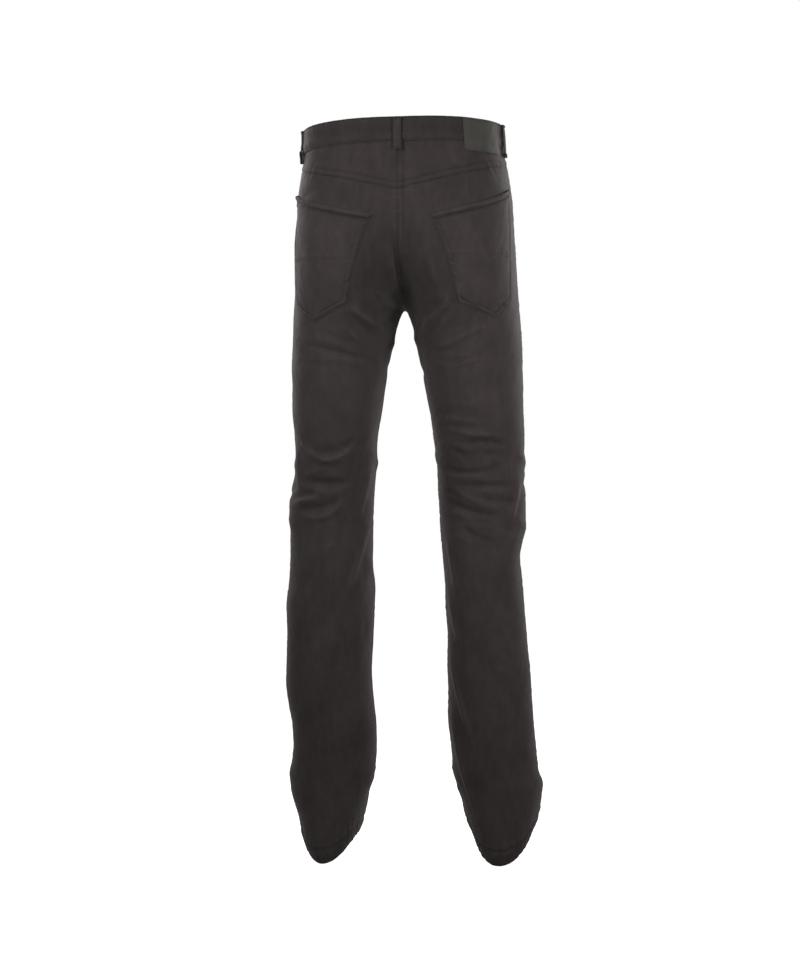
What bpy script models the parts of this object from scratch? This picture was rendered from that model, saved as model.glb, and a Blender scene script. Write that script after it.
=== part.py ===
"""Knit trousers in a five-pocket jeans cut, filled out as if worn, with no wearer.

Metres, +Z up. The front faces -Y and the wearer's left is +X. The origin is the centre of the
waistband at its mid-height, where the wearer's waist holds the garment up.

Every piece of cloth is a wall on one surface, place(side, turn, height). A horizontal section of
one side is a ring: turn runs from 0 at the inseam (or the centre-front seam) over the front to 1 at
the side seam, and over the back to 2 at the inseam (or the centre-back seam).
"""
import math

import bmesh
import bpy
import numpy as np

LEFT, RIGHT = 1, -1
SIDES = {LEFT: "left", RIGHT: "right"}

CLOTH = 0.0016             # wall of one layer of the heavy knit
BAND_CLOTH = 0.0028        # waistband: two layers and a stay
BAND_PROUD = 0.0008        # how far the waistband stands out from the panels below it
SEAM_GAP = 0.0004          # between two pieces that are sewn edge to edge
CROTCH = -0.2490           # height of the crotch point
HEM_START = -0.965         # below this height the rows slant into the hem

FULLNESS = 2.15            # exponent of the rings: 2 is an ellipse, more is squarer
RING_STEPS = 90            # points along half a ring, for measuring it

# The seat seam in side view, as a curve that is flat at the crotch and upright further up.
SEAT_RISE_BACK = 0.150
SEAT_RISE_FRONT = 0.110
SEAT_BEND = 1.75
SEAT_LIMIT = 0.985         # the centre seams stay this share of the depth above the curve
ARCH_RADIUS = 0.0030       # roundness of the arch between the legs
ARCH_REACH = 0.060         # how far down the arch is felt

HEM_SIDE = -1.013
HEM_BACK_DROP = {LEFT: 0.0370, RIGHT: 0.0425}    # the hem falls behind the heel
HEM_POINT = 2.2            # how pointed the fall is: 1 is a slanted plane
HEM_FRONT_LIFT = 0.011     # and lies higher on the instep
HEM_LOWEST = {LEFT: 0.44, RIGHT: 0.53}   # share of the back's width where the hem is lowest

BAND_HEIGHT = 0.0355
BAND_MIDDLE = {"front": -0.014, "side": 0.000, "back": 0.0046}
BAND_ROWS = 2
BAND_LAP = 0.017           # the left end laps this far past the centre front
BAND_LAP_LIFT = 0.0037     # and lies this much further out, over the right end
BAND_LAP_FLAT = 0.019      # it does so up to this distance on its own side of the centre front
BAND_LAP_FADE = 0.013      # and comes back to the waist's surface over this much more
YOKE_SIDE, YOKE_BACK = -0.0385, -0.0820  # heights of the yoke seam at the side and centre back
YOKE_CURVE = 1.25          # it dips more steeply towards the centre back
YOKE_ROWS = 3


def table(names, rows):
    """The named columns of a short table, as arrays that run upwards in height."""
    return dict(zip(names.split(), np.array(sorted(rows)).T))


# The outline seen from behind: the centre seam's place, and how far each side reaches outwards
# and inwards. The inward reach counts from the crotch down.
OUTLINE = table("height centre left_out right_out left_in right_in", (
    (0.024, 0.0000, 0.1460, 0.1480, 0.0000, 0.0000),
    (-0.018, 0.0000, 0.1465, 0.1495, 0.0000, 0.0000),
    (-0.050, 0.0003, 0.1500, 0.1543, 0.0000, 0.0000),
    (-0.080, 0.0004, 0.1548, 0.1583, 0.0000, 0.0000),
    (-0.110, 0.0007, 0.1570, 0.1605, 0.0000, 0.0000),
    (-0.145, 0.0011, 0.1610, 0.1620, 0.0000, 0.0000),
    (-0.190, 0.0016, 0.1615, 0.1638, 0.0000, 0.0000),
    (-0.2490, 0.0021, 0.1655, 0.1667, 0.0021, -0.0021),
    (-0.270, 0.0023, 0.1672, 0.1676, 0.0140, 0.0086),
    (-0.310, 0.0028, 0.1693, 0.1697, 0.0236, 0.0173),
    (-0.355, 0.0031, 0.1708, 0.1700, 0.0330, 0.0250),
    (-0.400, 0.0031, 0.1714, 0.1698, 0.0412, 0.0325),
    (-0.430, 0.0031, 0.1695, 0.1700, 0.0458, 0.0365),
    (-0.460, 0.0031, 0.1682, 0.1697, 0.0484, 0.0397),
    (-0.490, 0.0031, 0.1719, 0.1695, 0.0509, 0.0415),
    (-0.512, 0.0031, 0.1775, 0.1704, 0.0527, 0.0427),
    (-0.525, 0.0031, 0.1784, 0.1707, 0.0536, 0.0434),
    (-0.550, 0.0031, 0.1782, 0.1700, 0.0547, 0.0442),
    (-0.580, 0.0031, 0.1782, 0.1668, 0.0553, 0.0448),
    (-0.610, 0.0031, 0.1782, 0.1618, 0.0564, 0.0464),
    (-0.640, 0.0031, 0.1801, 0.1628, 0.0562, 0.0493),
    (-0.675, 0.0031, 0.1848, 0.1655, 0.0555, 0.0514),
    (-0.715, 0.0031, 0.1850, 0.1685, 0.0562, 0.0518),
    (-0.755, 0.0031, 0.1852, 0.1710, 0.0590, 0.0514),
    (-0.795, 0.0031, 0.1867, 0.1735, 0.0596, 0.0512),
    (-0.825, 0.0031, 0.1842, 0.1752, 0.0573, 0.0515),
    (-0.855, 0.0031, 0.1788, 0.1770, 0.0543, 0.0520),
    (-0.880, 0.0031, 0.1774, 0.1783, 0.0549, 0.0543),
    (-0.905, 0.0031, 0.1804, 0.1798, 0.0558, 0.0562),
    (-0.925, 0.0031, 0.1823, 0.1820, 0.0575, 0.0562),
    (-0.948, 0.0031, 0.1824, 0.1868, 0.0658, 0.0642),
    (-0.970, 0.0031, 0.1775, 0.1848, 0.0703, 0.0702),
    (-0.992, 0.0031, 0.1705, 0.1810, 0.0757, 0.0745),
    (-1.013, 0.0031, 0.1678, 0.1768, 0.0785, 0.0800),
    (-1.052, 0.0031, 0.1665, 0.1755, 0.0800, 0.0815),
))

# The outline seen from the side: the front and back, the side seam, and where across each half
# (as a share of its width from the inner edge) the front and the back reach furthest.
PROFILE = table("height front back side front_at back_at", (
    (0.024, 0.1020, 0.1120, 0.0040, 0.10, 0.26),
    (-0.018, 0.1050, 0.1160, 0.0040, 0.11, 0.28),
    (-0.060, 0.1085, 0.1235, 0.0050, 0.14, 0.33),
    (-0.100, 0.1105, 0.1295, 0.0060, 0.18, 0.38),
    (-0.140, 0.1100, 0.1325, 0.0060, 0.24, 0.42),
    (-0.180, 0.1070, 0.1300, 0.0045, 0.31, 0.45),
    (-0.215, 0.1025, 0.1225, 0.0020, 0.39, 0.48),
    (-0.2490, 0.0980, 0.1100, -0.0005, 0.46, 0.50),
    (-0.280, 0.0950, 0.1005, -0.0020, 0.50, 0.50),
    (-0.320, 0.0920, 0.0915, -0.0035, 0.50, 0.50),
    (-0.375, 0.0885, 0.0825, -0.0050, 0.50, 0.50),
    (-0.430, 0.0835, 0.0715, -0.0070, 0.50, 0.50),
    (-0.490, 0.0760, 0.0600, -0.0085, 0.50, 0.50),
    (-0.550, 0.0690, 0.0595, -0.0050, 0.50, 0.50),
    (-0.610, 0.0640, 0.0655, 0.0000, 0.50, 0.50),
    (-0.670, 0.0600, 0.0715, 0.0045, 0.50, 0.50),
    (-0.730, 0.0570, 0.0745, 0.0080, 0.50, 0.50),
    (-0.790, 0.0540, 0.0755, 0.0100, 0.50, 0.50),
    (-0.850, 0.0510, 0.0755, 0.0120, 0.50, 0.50),
    (-0.900, 0.0500, 0.0740, 0.0120, 0.50, 0.50),
    (-0.932, 0.0515, 0.0735, 0.0115, 0.50, 0.50),
    (-0.962, 0.0560, 0.0765, 0.0110, 0.50, 0.50),
    (-0.990, 0.0615, 0.0810, 0.0105, 0.50, 0.50),
    (-1.052, 0.0680, 0.0840, 0.0100, 0.50, 0.50),
))


def read(columns, name, height):
    """A smooth curve through one column of a table, at any heights."""
    knots, values = columns["height"], columns[name]
    slopes = np.gradient(values, knots)
    height = np.clip(height, knots[0], knots[-1])
    below = np.clip(np.searchsorted(knots, height) - 1, 0, len(knots) - 2)
    span = knots[below + 1] - knots[below]
    t = (height - knots[below]) / span
    rise = t * t * (3 - 2 * t)
    start = t * (1 - t) ** 2 * span * slopes[below]
    end = -t * t * (1 - t) * span * slopes[below + 1]
    return values[below] * (1 - rise) + values[below + 1] * rise + start + end


def inner_reach(side, height):
    """Distance from the centre seam's plane to the inseam, which opens like an arch."""
    centre = read(OUTLINE, "centre", height)
    name = SIDES[side] + "_in"
    knots = dict(height=OUTLINE["height"])
    knots["square"] = np.maximum(OUTLINE[name] - side * OUTLINE["centre"], 0) ** 2
    knots["square"][OUTLINE["height"] > CROTCH] = 0.0
    return np.sqrt(np.maximum(read(knots, "square", height), 0)), centre


def arch(drop):
    """How much wider the arch is at a drop below the crotch seam."""
    drop = np.maximum(drop, 0)
    return np.sqrt(2 * ARCH_RADIUS * drop) * np.exp(-drop / ARCH_REACH)


def half_ring(side, half, height):
    """Points along the front or back half of one side's ring, from the inseam to the side seam."""
    reach, centre = inner_reach(side, height)
    outer = read(OUTLINE, SIDES[side] + "_out", height) - side * centre
    middle = read(PROFILE, "side", height)
    depth = read(PROFILE, half, height) * (-1 if half == "front" else 1) - middle
    drop = CROTCH - height
    inner = np.maximum(reach - arch(drop), 0)
    crown = inner + read(PROFILE, half + "_at", height) * (outer - inner)
    rise = SEAT_RISE_FRONT if half == "front" else SEAT_RISE_BACK
    above = np.clip((height - CROTCH) / rise, 0, 1)
    share = np.minimum(np.sqrt(1 - (1 - above) ** SEAT_BEND), SEAT_LIMIT)
    above_width = crown / (1 - share ** FULLNESS) ** (1 / FULLNESS)
    width = np.where(height > CROTCH, above_width, crown - inner)
    first = np.arccos(np.clip(crown / width, -1, 1) ** (FULLNESS / 2))
    first = np.where(height > CROTCH, first, 0.0)
    step = np.linspace(0, 1, RING_STEPS)
    angle = first[:, None] + (math.pi - first[:, None]) * step
    power = 2 / FULLNESS
    across = np.abs(np.cos(angle)) ** power
    along = np.abs(np.sin(angle)) ** power
    inside = angle < math.pi / 2
    x = crown[:, None] + across * np.where(inside, -width[:, None], (outer - crown)[:, None])
    seam = rise * (1 - (1 - np.minimum(along, 1) ** 2) ** (1 / SEAT_BEND))
    x += np.where(inside, arch(drop[:, None] + seam) * across, 0)
    y = middle[:, None] + depth[:, None] * along
    return centre[:, None] + side * np.maximum(x, 0), y


def lengths(x, y):
    """Distance walked along each ring."""
    walked = np.hypot(np.diff(x, axis=1), np.diff(y, axis=1))
    return np.hstack([np.zeros((len(x), 1)), np.cumsum(walked, axis=1)])


def half_width(side, half, height):
    """Width of the cloth from the inseam or centre seam to the side seam."""
    height = np.atleast_1d(np.asarray(height, float))
    return lengths(*half_ring(side, half, height))[:, -1]


def bare(side, turn, height):
    """Points of the cloth without its folds."""
    turn, height = (np.asarray(v, float) for v in np.broadcast_arrays(turn, height))
    flat_turn, flat_height = turn.ravel(), height.ravel()
    points = np.empty((flat_turn.size, 3))
    for half, chosen in (("front", flat_turn <= 1), ("back", flat_turn > 1)):
        if not chosen.any():
            continue
        x, y = half_ring(side, half, flat_height[chosen])
        walked = lengths(x, y)
        part = flat_turn[chosen] if half == "front" else 2 - flat_turn[chosen]
        goal = np.clip(part, 0, 1) * walked[:, -1]
        k = np.clip((walked < goal[:, None]).sum(axis=1) - 1, 0, RING_STEPS - 2)
        row = np.arange(len(goal))
        t = (goal - walked[row, k]) / np.maximum(walked[row, k + 1] - walked[row, k], 1e-12)
        points[chosen, 0] = x[row, k] * (1 - t) + x[row, k + 1] * t
        points[chosen, 1] = y[row, k] * (1 - t) + y[row, k + 1] * t
        points[chosen, 2] = flat_height[chosen]
    return points.reshape(turn.shape + (3,))


def facing(surface, side, turn, height):
    """Outward normals of a surface, from two small steps on it."""
    turn_step, height_step = 0.004, 0.0008
    low = np.clip(turn - turn_step, 0, 2)
    high = np.clip(turn + turn_step, 0, 2)
    low = np.where((turn > 1) & (low <= 1), 1 + 1e-9, low)
    around = surface(side, high, height) - surface(side, low, height)
    upward = surface(side, turn, height + height_step) - surface(side, turn, height - height_step)
    normal = side * np.cross(around, upward)
    return normal / np.linalg.norm(normal, axis=-1, keepdims=True)


# The largest folds, each a soft ridge (depth above 0) or trough (below 0) along a bowed line.
# The face it lies on and its side key the rows. across is the distance from the mid-plane on the
# back and front, and the place towards the back on the outer and inner faces.
FACE_FADE = 0.35           # a face's folds fade where its normal turns this far from it
FOLD_ENDS = 1.2            # how soon a fold dies out at its ends
SHARP_ANGLE = 50           # edges bent more than this many degrees are shaded sharp
FOLD_COLUMNS = "across1 height1 across2 height2 bow depth width".split()
FOLDS = {
    ("back", LEFT): (
        # between the yoke and the pocket
        (0.110, -0.066, 0.142, -0.083, 0.000, -0.0014, 0.007),
        (0.062, -0.073, 0.085, -0.097, 0.000, -0.0012, 0.008),
        (0.036, -0.106, 0.052, -0.122, 0.000, -0.0014, 0.006),
        # under the seat, fanning out from the crotch
        (0.040, -0.221, 0.009, -0.243, 0.003, 0.0022, 0.006),
        (0.065, -0.243, 0.028, -0.276, 0.003, 0.0024, 0.006),
        (0.085, -0.266, 0.058, -0.292, 0.000, 0.0022, 0.006),
        (0.142, -0.289, 0.072, -0.300, 0.000, 0.0022, 0.007),
        (0.120, -0.319, 0.056, -0.326, 0.000, 0.0016, 0.007),
        (0.038, -0.249, 0.017, -0.261, 0.000, -0.0022, 0.005),
        (0.080, -0.255, 0.028, -0.290, 0.003, -0.0022, 0.006),
        (0.116, -0.308, 0.049, -0.321, -0.002, -0.0034, 0.006),
        (0.083, -0.327, 0.060, -0.340, 0.000, -0.0014, 0.006),
        (0.151, -0.295, 0.127, -0.304, 0.000, -0.0016, 0.007),
        (0.148, -0.323, 0.117, -0.326, 0.000, -0.0014, 0.006),
        # behind the knee
        (0.153, -0.436, 0.070, -0.434, 0.029, 0.0034, 0.008),
        (0.132, -0.452, 0.098, -0.450, 0.000, -0.0018, 0.006),
        (0.149, -0.478, 0.108, -0.474, 0.006, 0.0020, 0.006),
        (0.148, -0.494, 0.086, -0.497, 0.000, -0.0040, 0.006),
        (0.140, -0.503, 0.086, -0.502, 0.008, 0.0022, 0.006),
        (0.155, -0.510, 0.134, -0.513, 0.000, -0.0022, 0.006),
        (0.165, -0.526, 0.131, -0.517, 0.000, 0.0036, 0.006),
        (0.160, -0.535, 0.099, -0.523, 0.002, -0.0036, 0.006),
        (0.157, -0.543, 0.094, -0.524, 0.013, 0.0024, 0.006),
        (0.163, -0.443, 0.157, -0.505, 0.000, 0.0020, 0.006),
        (0.106, -0.580, 0.125, -0.600, 0.000, 0.0014, 0.008),
        (0.095, -0.445, 0.068, -0.436, 0.000, -0.0018, 0.006),
        # winding down the inner calf
        (0.050, -0.448, 0.065, -0.493, 0.000, 0.0020, 0.006),
        (0.054, -0.482, 0.087, -0.579, -0.004, 0.0026, 0.007),
        (0.058, -0.555, 0.094, -0.677, 0.000, 0.0022, 0.008),
        (0.060, -0.613, 0.061, -0.720, 0.004, 0.0016, 0.006),
        (0.068, -0.664, 0.070, -0.750, 0.000, -0.0016, 0.006),
        (0.112, -0.700, 0.150, -0.770, 0.006, 0.0016, 0.014),
        # where the leg bulges above the hem
        (0.066, -0.912, 0.120, -0.932, -0.004, 0.0020, 0.010),
        (0.176, -0.905, 0.128, -0.930, 0.005, 0.0018, 0.010),
        (0.080, -0.962, 0.150, -0.958, -0.006, -0.0018, 0.010),
    ),
    ("back", RIGHT): (
        (0.108, -0.064, 0.138, -0.080, 0.000, -0.0012, 0.008),
        (0.050, -0.078, 0.066, -0.100, 0.000, -0.0010, 0.008),
        (0.067, -0.239, 0.031, -0.263, 0.005, 0.0022, 0.006),
        (0.070, -0.257, 0.055, -0.283, 0.001, 0.0018, 0.006),
        (0.057, -0.306, 0.112, -0.288, 0.001, 0.0022, 0.007),
        (0.053, -0.317, 0.114, -0.322, 0.000, 0.0020, 0.006),
        (0.063, -0.387, 0.107, -0.390, 0.000, 0.0016, 0.006),
        (0.058, -0.406, 0.106, -0.414, 0.000, 0.0018, 0.006),
        (0.065, -0.422, 0.137, -0.434, -0.003, 0.0026, 0.006),
        (0.028, -0.271, 0.045, -0.271, 0.000, -0.0020, 0.005),
        (0.039, -0.307, 0.080, -0.312, 0.000, -0.0022, 0.006),
        (0.050, -0.334, 0.077, -0.339, 0.000, -0.0016, 0.006),
        (0.047, -0.396, 0.064, -0.402, 0.000, -0.0018, 0.005),
        (0.048, -0.415, 0.079, -0.420, 0.000, -0.0020, 0.005),
        (0.083, -0.445, 0.143, -0.445, 0.004, -0.0036, 0.006),
        (0.146, -0.440, 0.147, -0.492, 0.000, 0.0020, 0.007),
        (0.071, -0.444, 0.100, -0.456, 0.000, 0.0022, 0.006),
        (0.064, -0.450, 0.084, -0.461, 0.000, -0.0020, 0.005),
        (0.106, -0.459, 0.145, -0.461, 0.000, -0.0018, 0.006),
        (0.058, -0.480, 0.133, -0.478, -0.007, -0.0036, 0.006),
        (0.075, -0.504, 0.152, -0.505, 0.000, -0.0036, 0.006),
        (0.104, -0.521, 0.154, -0.528, -0.002, -0.0030, 0.006),
        (0.056, -0.510, 0.073, -0.519, 0.000, -0.0018, 0.005),
        (0.062, -0.528, 0.129, -0.549, -0.003, -0.0036, 0.006),
        (0.098, -0.557, 0.122, -0.560, 0.000, -0.0016, 0.006),
        (0.081, -0.567, 0.129, -0.589, -0.001, -0.0020, 0.006),
        (0.062, -0.492, 0.107, -0.491, 0.000, 0.0022, 0.006),
        (0.070, -0.511, 0.135, -0.540, -0.003, 0.0026, 0.006),
        (0.162, -0.500, 0.149, -0.555, -0.001, 0.0034, 0.007),
        (0.061, -0.541, 0.098, -0.556, 0.000, 0.0020, 0.006),
        (0.068, -0.576, 0.093, -0.588, 0.000, 0.0016, 0.006),
        (0.127, -0.572, 0.150, -0.580, 0.000, 0.0016, 0.006),
        (0.056, -0.579, 0.070, -0.658, 0.001, 0.0020, 0.006),
        (0.059, -0.662, 0.080, -0.776, 0.002, 0.0022, 0.007),
        (0.057, -0.739, 0.087, -0.874, -0.002, 0.0022, 0.008),
        (0.059, -0.819, 0.090, -0.969, -0.001, 0.0024, 0.008),
        (0.130, -0.660, 0.146, -0.800, 0.004, 0.0016, 0.016),
        (0.075, -0.936, 0.130, -0.948, -0.004, 0.0020, 0.010),
        (0.180, -0.918, 0.136, -0.944, 0.005, 0.0018, 0.010),
        (0.090, -0.972, 0.160, -0.968, -0.006, -0.0018, 0.010),
    ),
    # the hidden faces have like folds: creases from the crotch, at the knee and on the instep
    ("front", LEFT): (
        (0.018, -0.228, 0.098, -0.196, -0.004, 0.0026, 0.008),
        (0.024, -0.246, 0.118, -0.232, -0.004, 0.0028, 0.008),
        (0.032, -0.272, 0.124, -0.280, 0.002, 0.0022, 0.009),
        (0.022, -0.236, 0.100, -0.214, -0.003, -0.0020, 0.007),
        (0.068, -0.448, 0.150, -0.456, 0.006, 0.0020, 0.010),
        (0.062, -0.486, 0.140, -0.478, -0.005, -0.0020, 0.009),
        (0.074, -0.520, 0.160, -0.530, 0.006, 0.0022, 0.010),
        (0.070, -0.905, 0.168, -0.918, 0.006, 0.0028, 0.010),
        (0.066, -0.934, 0.166, -0.930, -0.006, -0.0028, 0.009),
        (0.078, -0.956, 0.164, -0.966, 0.005, 0.0026, 0.010),
    ),
    ("front", RIGHT): (
        (0.016, -0.224, 0.092, -0.190, -0.004, 0.0024, 0.008),
        (0.026, -0.248, 0.120, -0.238, -0.004, 0.0028, 0.009),
        (0.034, -0.276, 0.118, -0.290, 0.002, 0.0022, 0.009),
        (0.024, -0.238, 0.104, -0.220, -0.003, -0.0020, 0.007),
        (0.060, -0.454, 0.146, -0.446, -0.006, 0.0022, 0.010),
        (0.066, -0.492, 0.152, -0.500, 0.005, -0.0020, 0.009),
        (0.070, -0.534, 0.144, -0.522, -0.006, 0.0020, 0.010),
        (0.074, -0.912, 0.172, -0.902, -0.006, 0.0028, 0.010),
        (0.070, -0.936, 0.174, -0.944, 0.006, -0.0028, 0.009),
        (0.082, -0.968, 0.170, -0.958, -0.005, 0.0026, 0.010),
    ),
    ("outer", LEFT): (
        (-0.040, -0.462, 0.030, -0.474, 0.004, 0.0020, 0.008),
        (-0.034, -0.512, 0.034, -0.500, -0.004, -0.0024, 0.007),
        (-0.030, -0.545, 0.036, -0.556, 0.004, 0.0018, 0.009),
        (-0.034, -0.924, 0.046, -0.912, -0.004, 0.0022, 0.010),
    ),
    ("outer", RIGHT): (
        (-0.036, -0.470, 0.034, -0.458, -0.004, 0.0020, 0.008),
        (-0.040, -0.500, 0.030, -0.512, 0.004, -0.0024, 0.007),
        (-0.030, -0.566, 0.038, -0.552, -0.004, 0.0020, 0.009),
        (-0.030, -0.938, 0.048, -0.928, -0.004, 0.0022, 0.010),
    ),
    ("inner", LEFT): (
        (-0.052, -0.292, 0.040, -0.304, 0.006, 0.0020, 0.008),
        (-0.046, -0.324, 0.044, -0.318, -0.005, -0.0018, 0.008),
        (-0.040, -0.468, 0.030, -0.450, -0.004, 0.0020, 0.008),
        (-0.038, -0.700, 0.030, -0.600, 0.004, 0.0018, 0.010),
        (-0.030, -0.930, 0.044, -0.945, 0.004, 0.0020, 0.010),
    ),
    ("inner", RIGHT): (
        (-0.050, -0.286, 0.046, -0.296, 0.006, 0.0020, 0.008),
        (-0.048, -0.330, 0.040, -0.342, 0.005, -0.0018, 0.008),
        (-0.042, -0.452, 0.026, -0.470, 0.004, 0.0020, 0.008),
        (-0.036, -0.760, 0.032, -0.640, 0.004, 0.0018, 0.010),
        (-0.030, -0.948, 0.044, -0.936, -0.004, 0.0020, 0.010),
    ),
}


def fold_height(side, points, normals):
    """How far the folds lift each point of the cloth along its normal."""
    lift = np.zeros(points.shape[:-1])
    looks = {
        "back": (side * points[..., 0], normals[..., 1]),
        "front": (side * points[..., 0], -normals[..., 1]),
        "outer": (points[..., 1], side * normals[..., 0]),
        "inner": (points[..., 1], -side * normals[..., 0]),
    }
    for face, (across, toward) in looks.items():
        seen = np.clip(toward / FACE_FADE, 0, 1)
        seen = seen * seen * (3 - 2 * seen)
        for row in FOLDS[face, side]:
            fold = dict(zip(FOLD_COLUMNS, row))
            start = np.array((fold["across1"], fold["height1"]))
            run = np.array((fold["across2"], fold["height2"])) - start
            length = math.hypot(*run)
            run /= length
            a, b = across - start[0], points[..., 2] - start[1]
            t = np.clip((a * run[0] + b * run[1]) / length, -1, 2)
            off = b * run[0] - a * run[1] - fold["bow"] * 4 * t * (1 - t)
            shape = np.exp(-(off / fold["width"]) ** 2 - FOLD_ENDS * (2 * t - 1) ** 4)
            lift += fold["depth"] * shape * seen
    return lift


def place(side, turn, height):
    """Points on the outside of the cloth."""
    points = bare(side, turn, height)
    normals = facing(bare, side, turn, height)
    return points + normals * fold_height(side, points, normals)[..., None]


def wall(side, turn, height, lift, thickness):
    """The outer and inner points of a piece of cloth, clear of the other half's plane."""
    points = place(side, turn, height)
    normals = facing(bare, side, turn, height)
    outer = points + normals * np.asarray(lift)[..., None]
    inner = outer - normals * np.asarray(thickness)[..., None]
    return outer, inner


def keep_to_side(side, sheets, height):
    """Above the crotch a panel ends half a seam gap short of the centre seam's plane."""
    centre = read(OUTLINE, "centre", height)
    for points in sheets:
        out = side * (points[..., 0] - centre)
        points[..., 0] = centre + side * np.maximum(out, SEAM_GAP / 2)


def band_middle(turn):
    """Height of the waistband's middle line round the waist."""
    front, edge, back = (BAND_MIDDLE[k] for k in ("front", "side", "back"))
    ahead = edge + (front - edge) * np.cos(np.clip(turn, 0, 1) * math.pi / 2) ** 2
    behind = edge + (back - edge) * np.sin((np.clip(turn, 1, 2) - 1) * math.pi / 2) ** 2
    return np.where(turn <= 1, ahead, behind)


def hem_height(side, turn):
    """Height of the hem, lower at the back and higher on the instep."""
    ahead = HEM_FRONT_LIFT * np.sin(np.clip(turn, 0, 1) * math.pi)
    bend = math.log(0.5) / math.log(1 - HEM_LOWEST[side])
    behind = HEM_BACK_DROP[side] * np.sin(np.clip(2 - turn, 0, 1) ** bend * math.pi) ** HEM_POINT
    return HEM_SIDE + np.where(turn <= 1, ahead, -behind)


def new_material(name, colour, roughness, metallic=0.0):
    """A Principled material."""
    material = bpy.data.materials.new(name)
    material.use_nodes = True
    shader = material.node_tree.nodes["Principled BSDF"]
    shader.inputs["Base Color"].default_value = (*colour, 1.0)
    shader.inputs["Roughness"].default_value = roughness
    shader.inputs["Metallic"].default_value = metallic
    return material


def add_sheet(mesh, points):
    """One face of a wall: a grid whose rows and columns are the given points."""
    rows, columns = points.shape[:2]
    made = bmesh.ops.create_grid(mesh, x_segments=columns - 1, y_segments=rows - 1, size=0.5)
    for vertex in made["verts"]:
        column = round((vertex.co.x + 0.5) * (columns - 1))
        row = round((vertex.co.y + 0.5) * (rows - 1))
        vertex.co = points[row, column]


def add_wall(name, outer, inner, material):
    """A closed wall between an outer and an inner sheet."""
    mesh = bmesh.new()
    add_sheet(mesh, outer)
    add_sheet(mesh, inner)
    rim = [edge for edge in mesh.edges if edge.is_boundary]
    bmesh.ops.bridge_loops(mesh, edges=rim)
    bmesh.ops.recalc_face_normals(mesh, faces=mesh.faces)
    bmesh.ops.triangulate(mesh, faces=mesh.faces)
    data = bpy.data.meshes.new(name)
    mesh.to_mesh(data)
    mesh.free()
    data.shade_smooth()
    data.set_sharp_from_angle(angle=math.radians(SHARP_ANGLE))
    data.materials.append(material)
    piece = bpy.data.objects.new(name, data)
    bpy.data.collections[COLLECTION].objects.link(piece)
    return piece


# Rows of a panel: how far apart they are down to each height, close where the folds are.
ROW_ZONES = {
    "front": ((-0.300, 0.012), (-0.430, 0.024), (-0.545, 0.0165), (-0.900, 0.034), (HEM_START, 0.016)),
    "back": ((-0.300, 0.0085), (-0.430, 0.0165), (-0.545, 0.0078), (-0.900, 0.030), (HEM_START, 0.014)),
}
ROWS_ABOVE = {"front": 11, "back": 13}    # between the crotch and the panel's top
ROWS_PULL = 1.6                           # they crowd towards the crotch by this power
ROWS_HEM = {"front": 3, "back": 4}
COLUMNS = {"front": 12, "back": 14}
ARCH_ROWS = (0.0012, 0.0045)              # drops of the two close rows in the arch


def leg_heights(half):
    """Heights of a panel's level rows, from the crotch down to where the hem begins."""
    heights = [CROTCH] + [CROTCH - drop for drop in ARCH_ROWS]
    for end, spacing in ROW_ZONES[half]:
        count = max(1, round((heights[-1] - end) / spacing))
        first = heights[-1]
        heights += [first + (end - first) * k / count for k in range(1, count + 1)]
    return heights


def panel_turns(half):
    """Turns of a panel's columns, with both edges at the seams."""
    return np.linspace(0, 1, COLUMNS[half] + 1) + (1 if half == "back" else 0)


def panel_top(half, turn):
    """Height of a panel's upper seam."""
    if half == "back":
        return YOKE_SIDE + (YOKE_BACK - YOKE_SIDE) * (turn - 1) ** YOKE_CURVE
    return band_middle(turn) - BAND_HEIGHT / 2


def inset_turns(side, half, turns, heights):
    """Turns with both side edges drawn in by half a seam gap."""
    width = half_width(side, half, heights.ravel()).reshape(heights.shape)
    inset = SEAM_GAP / 2 / width
    low, high = (0, 1) if half == "front" else (1, 2)
    turns = np.broadcast_to(turns, heights.shape)
    side_edge = high if half == "front" else low
    open_seam = heights <= CROTCH + 1e-6
    near, far = np.full_like(inset, low), np.full_like(inset, high)
    near += inset * (open_seam | (side_edge == low))
    far -= inset * (open_seam | (side_edge == high))
    return np.clip(turns, near, far)


def make_panel(side, half, material):
    """A leg panel, from its upper seam to the hem."""
    turns = panel_turns(half)
    top = panel_top(half, turns) - SEAM_GAP / 2
    shares = (np.arange(ROWS_ABOVE[half], 0, -1) / ROWS_ABOVE[half]) ** ROWS_PULL
    above = CROTCH + (top[None, :] - CROTCH) * shares[:, None]
    level = np.array(leg_heights(half))[:, None] + np.zeros_like(turns)
    down = np.arange(1, ROWS_HEM[half] + 1)[:, None] / ROWS_HEM[half]
    hem = HEM_START + (hem_height(side, turns)[None, :] - HEM_START) * down
    heights = np.vstack([above, level, hem])
    drawn = inset_turns(side, half, turns, heights)
    outer, inner = wall(side, drawn, heights, 0.0, CLOTH)
    upper = heights > CROTCH - 1e-6
    for sheet in (outer, inner):
        held = sheet.copy()
        keep_to_side(side, [held], heights)
        sheet[upper] = held[upper]
    return add_wall(f"{half}_{SIDES[side]}", outer, inner, material)


def make_yoke(side, material):
    """The yoke between the waistband and the back panel."""
    turns = panel_turns("back")
    top = band_middle(turns) - BAND_HEIGHT / 2 - SEAM_GAP / 2
    bottom = panel_top("back", turns) + SEAM_GAP / 2
    share = np.linspace(0, 1, YOKE_ROWS + 1)[:, None]
    heights = top[None, :] + (bottom - top)[None, :] * share
    drawn = inset_turns(side, "back", turns, heights)
    sheets = wall(side, drawn, heights, 0.0, CLOTH)
    keep_to_side(side, sheets, heights)
    return add_wall(f"yoke_{SIDES[side]}", *sheets, material)


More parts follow.
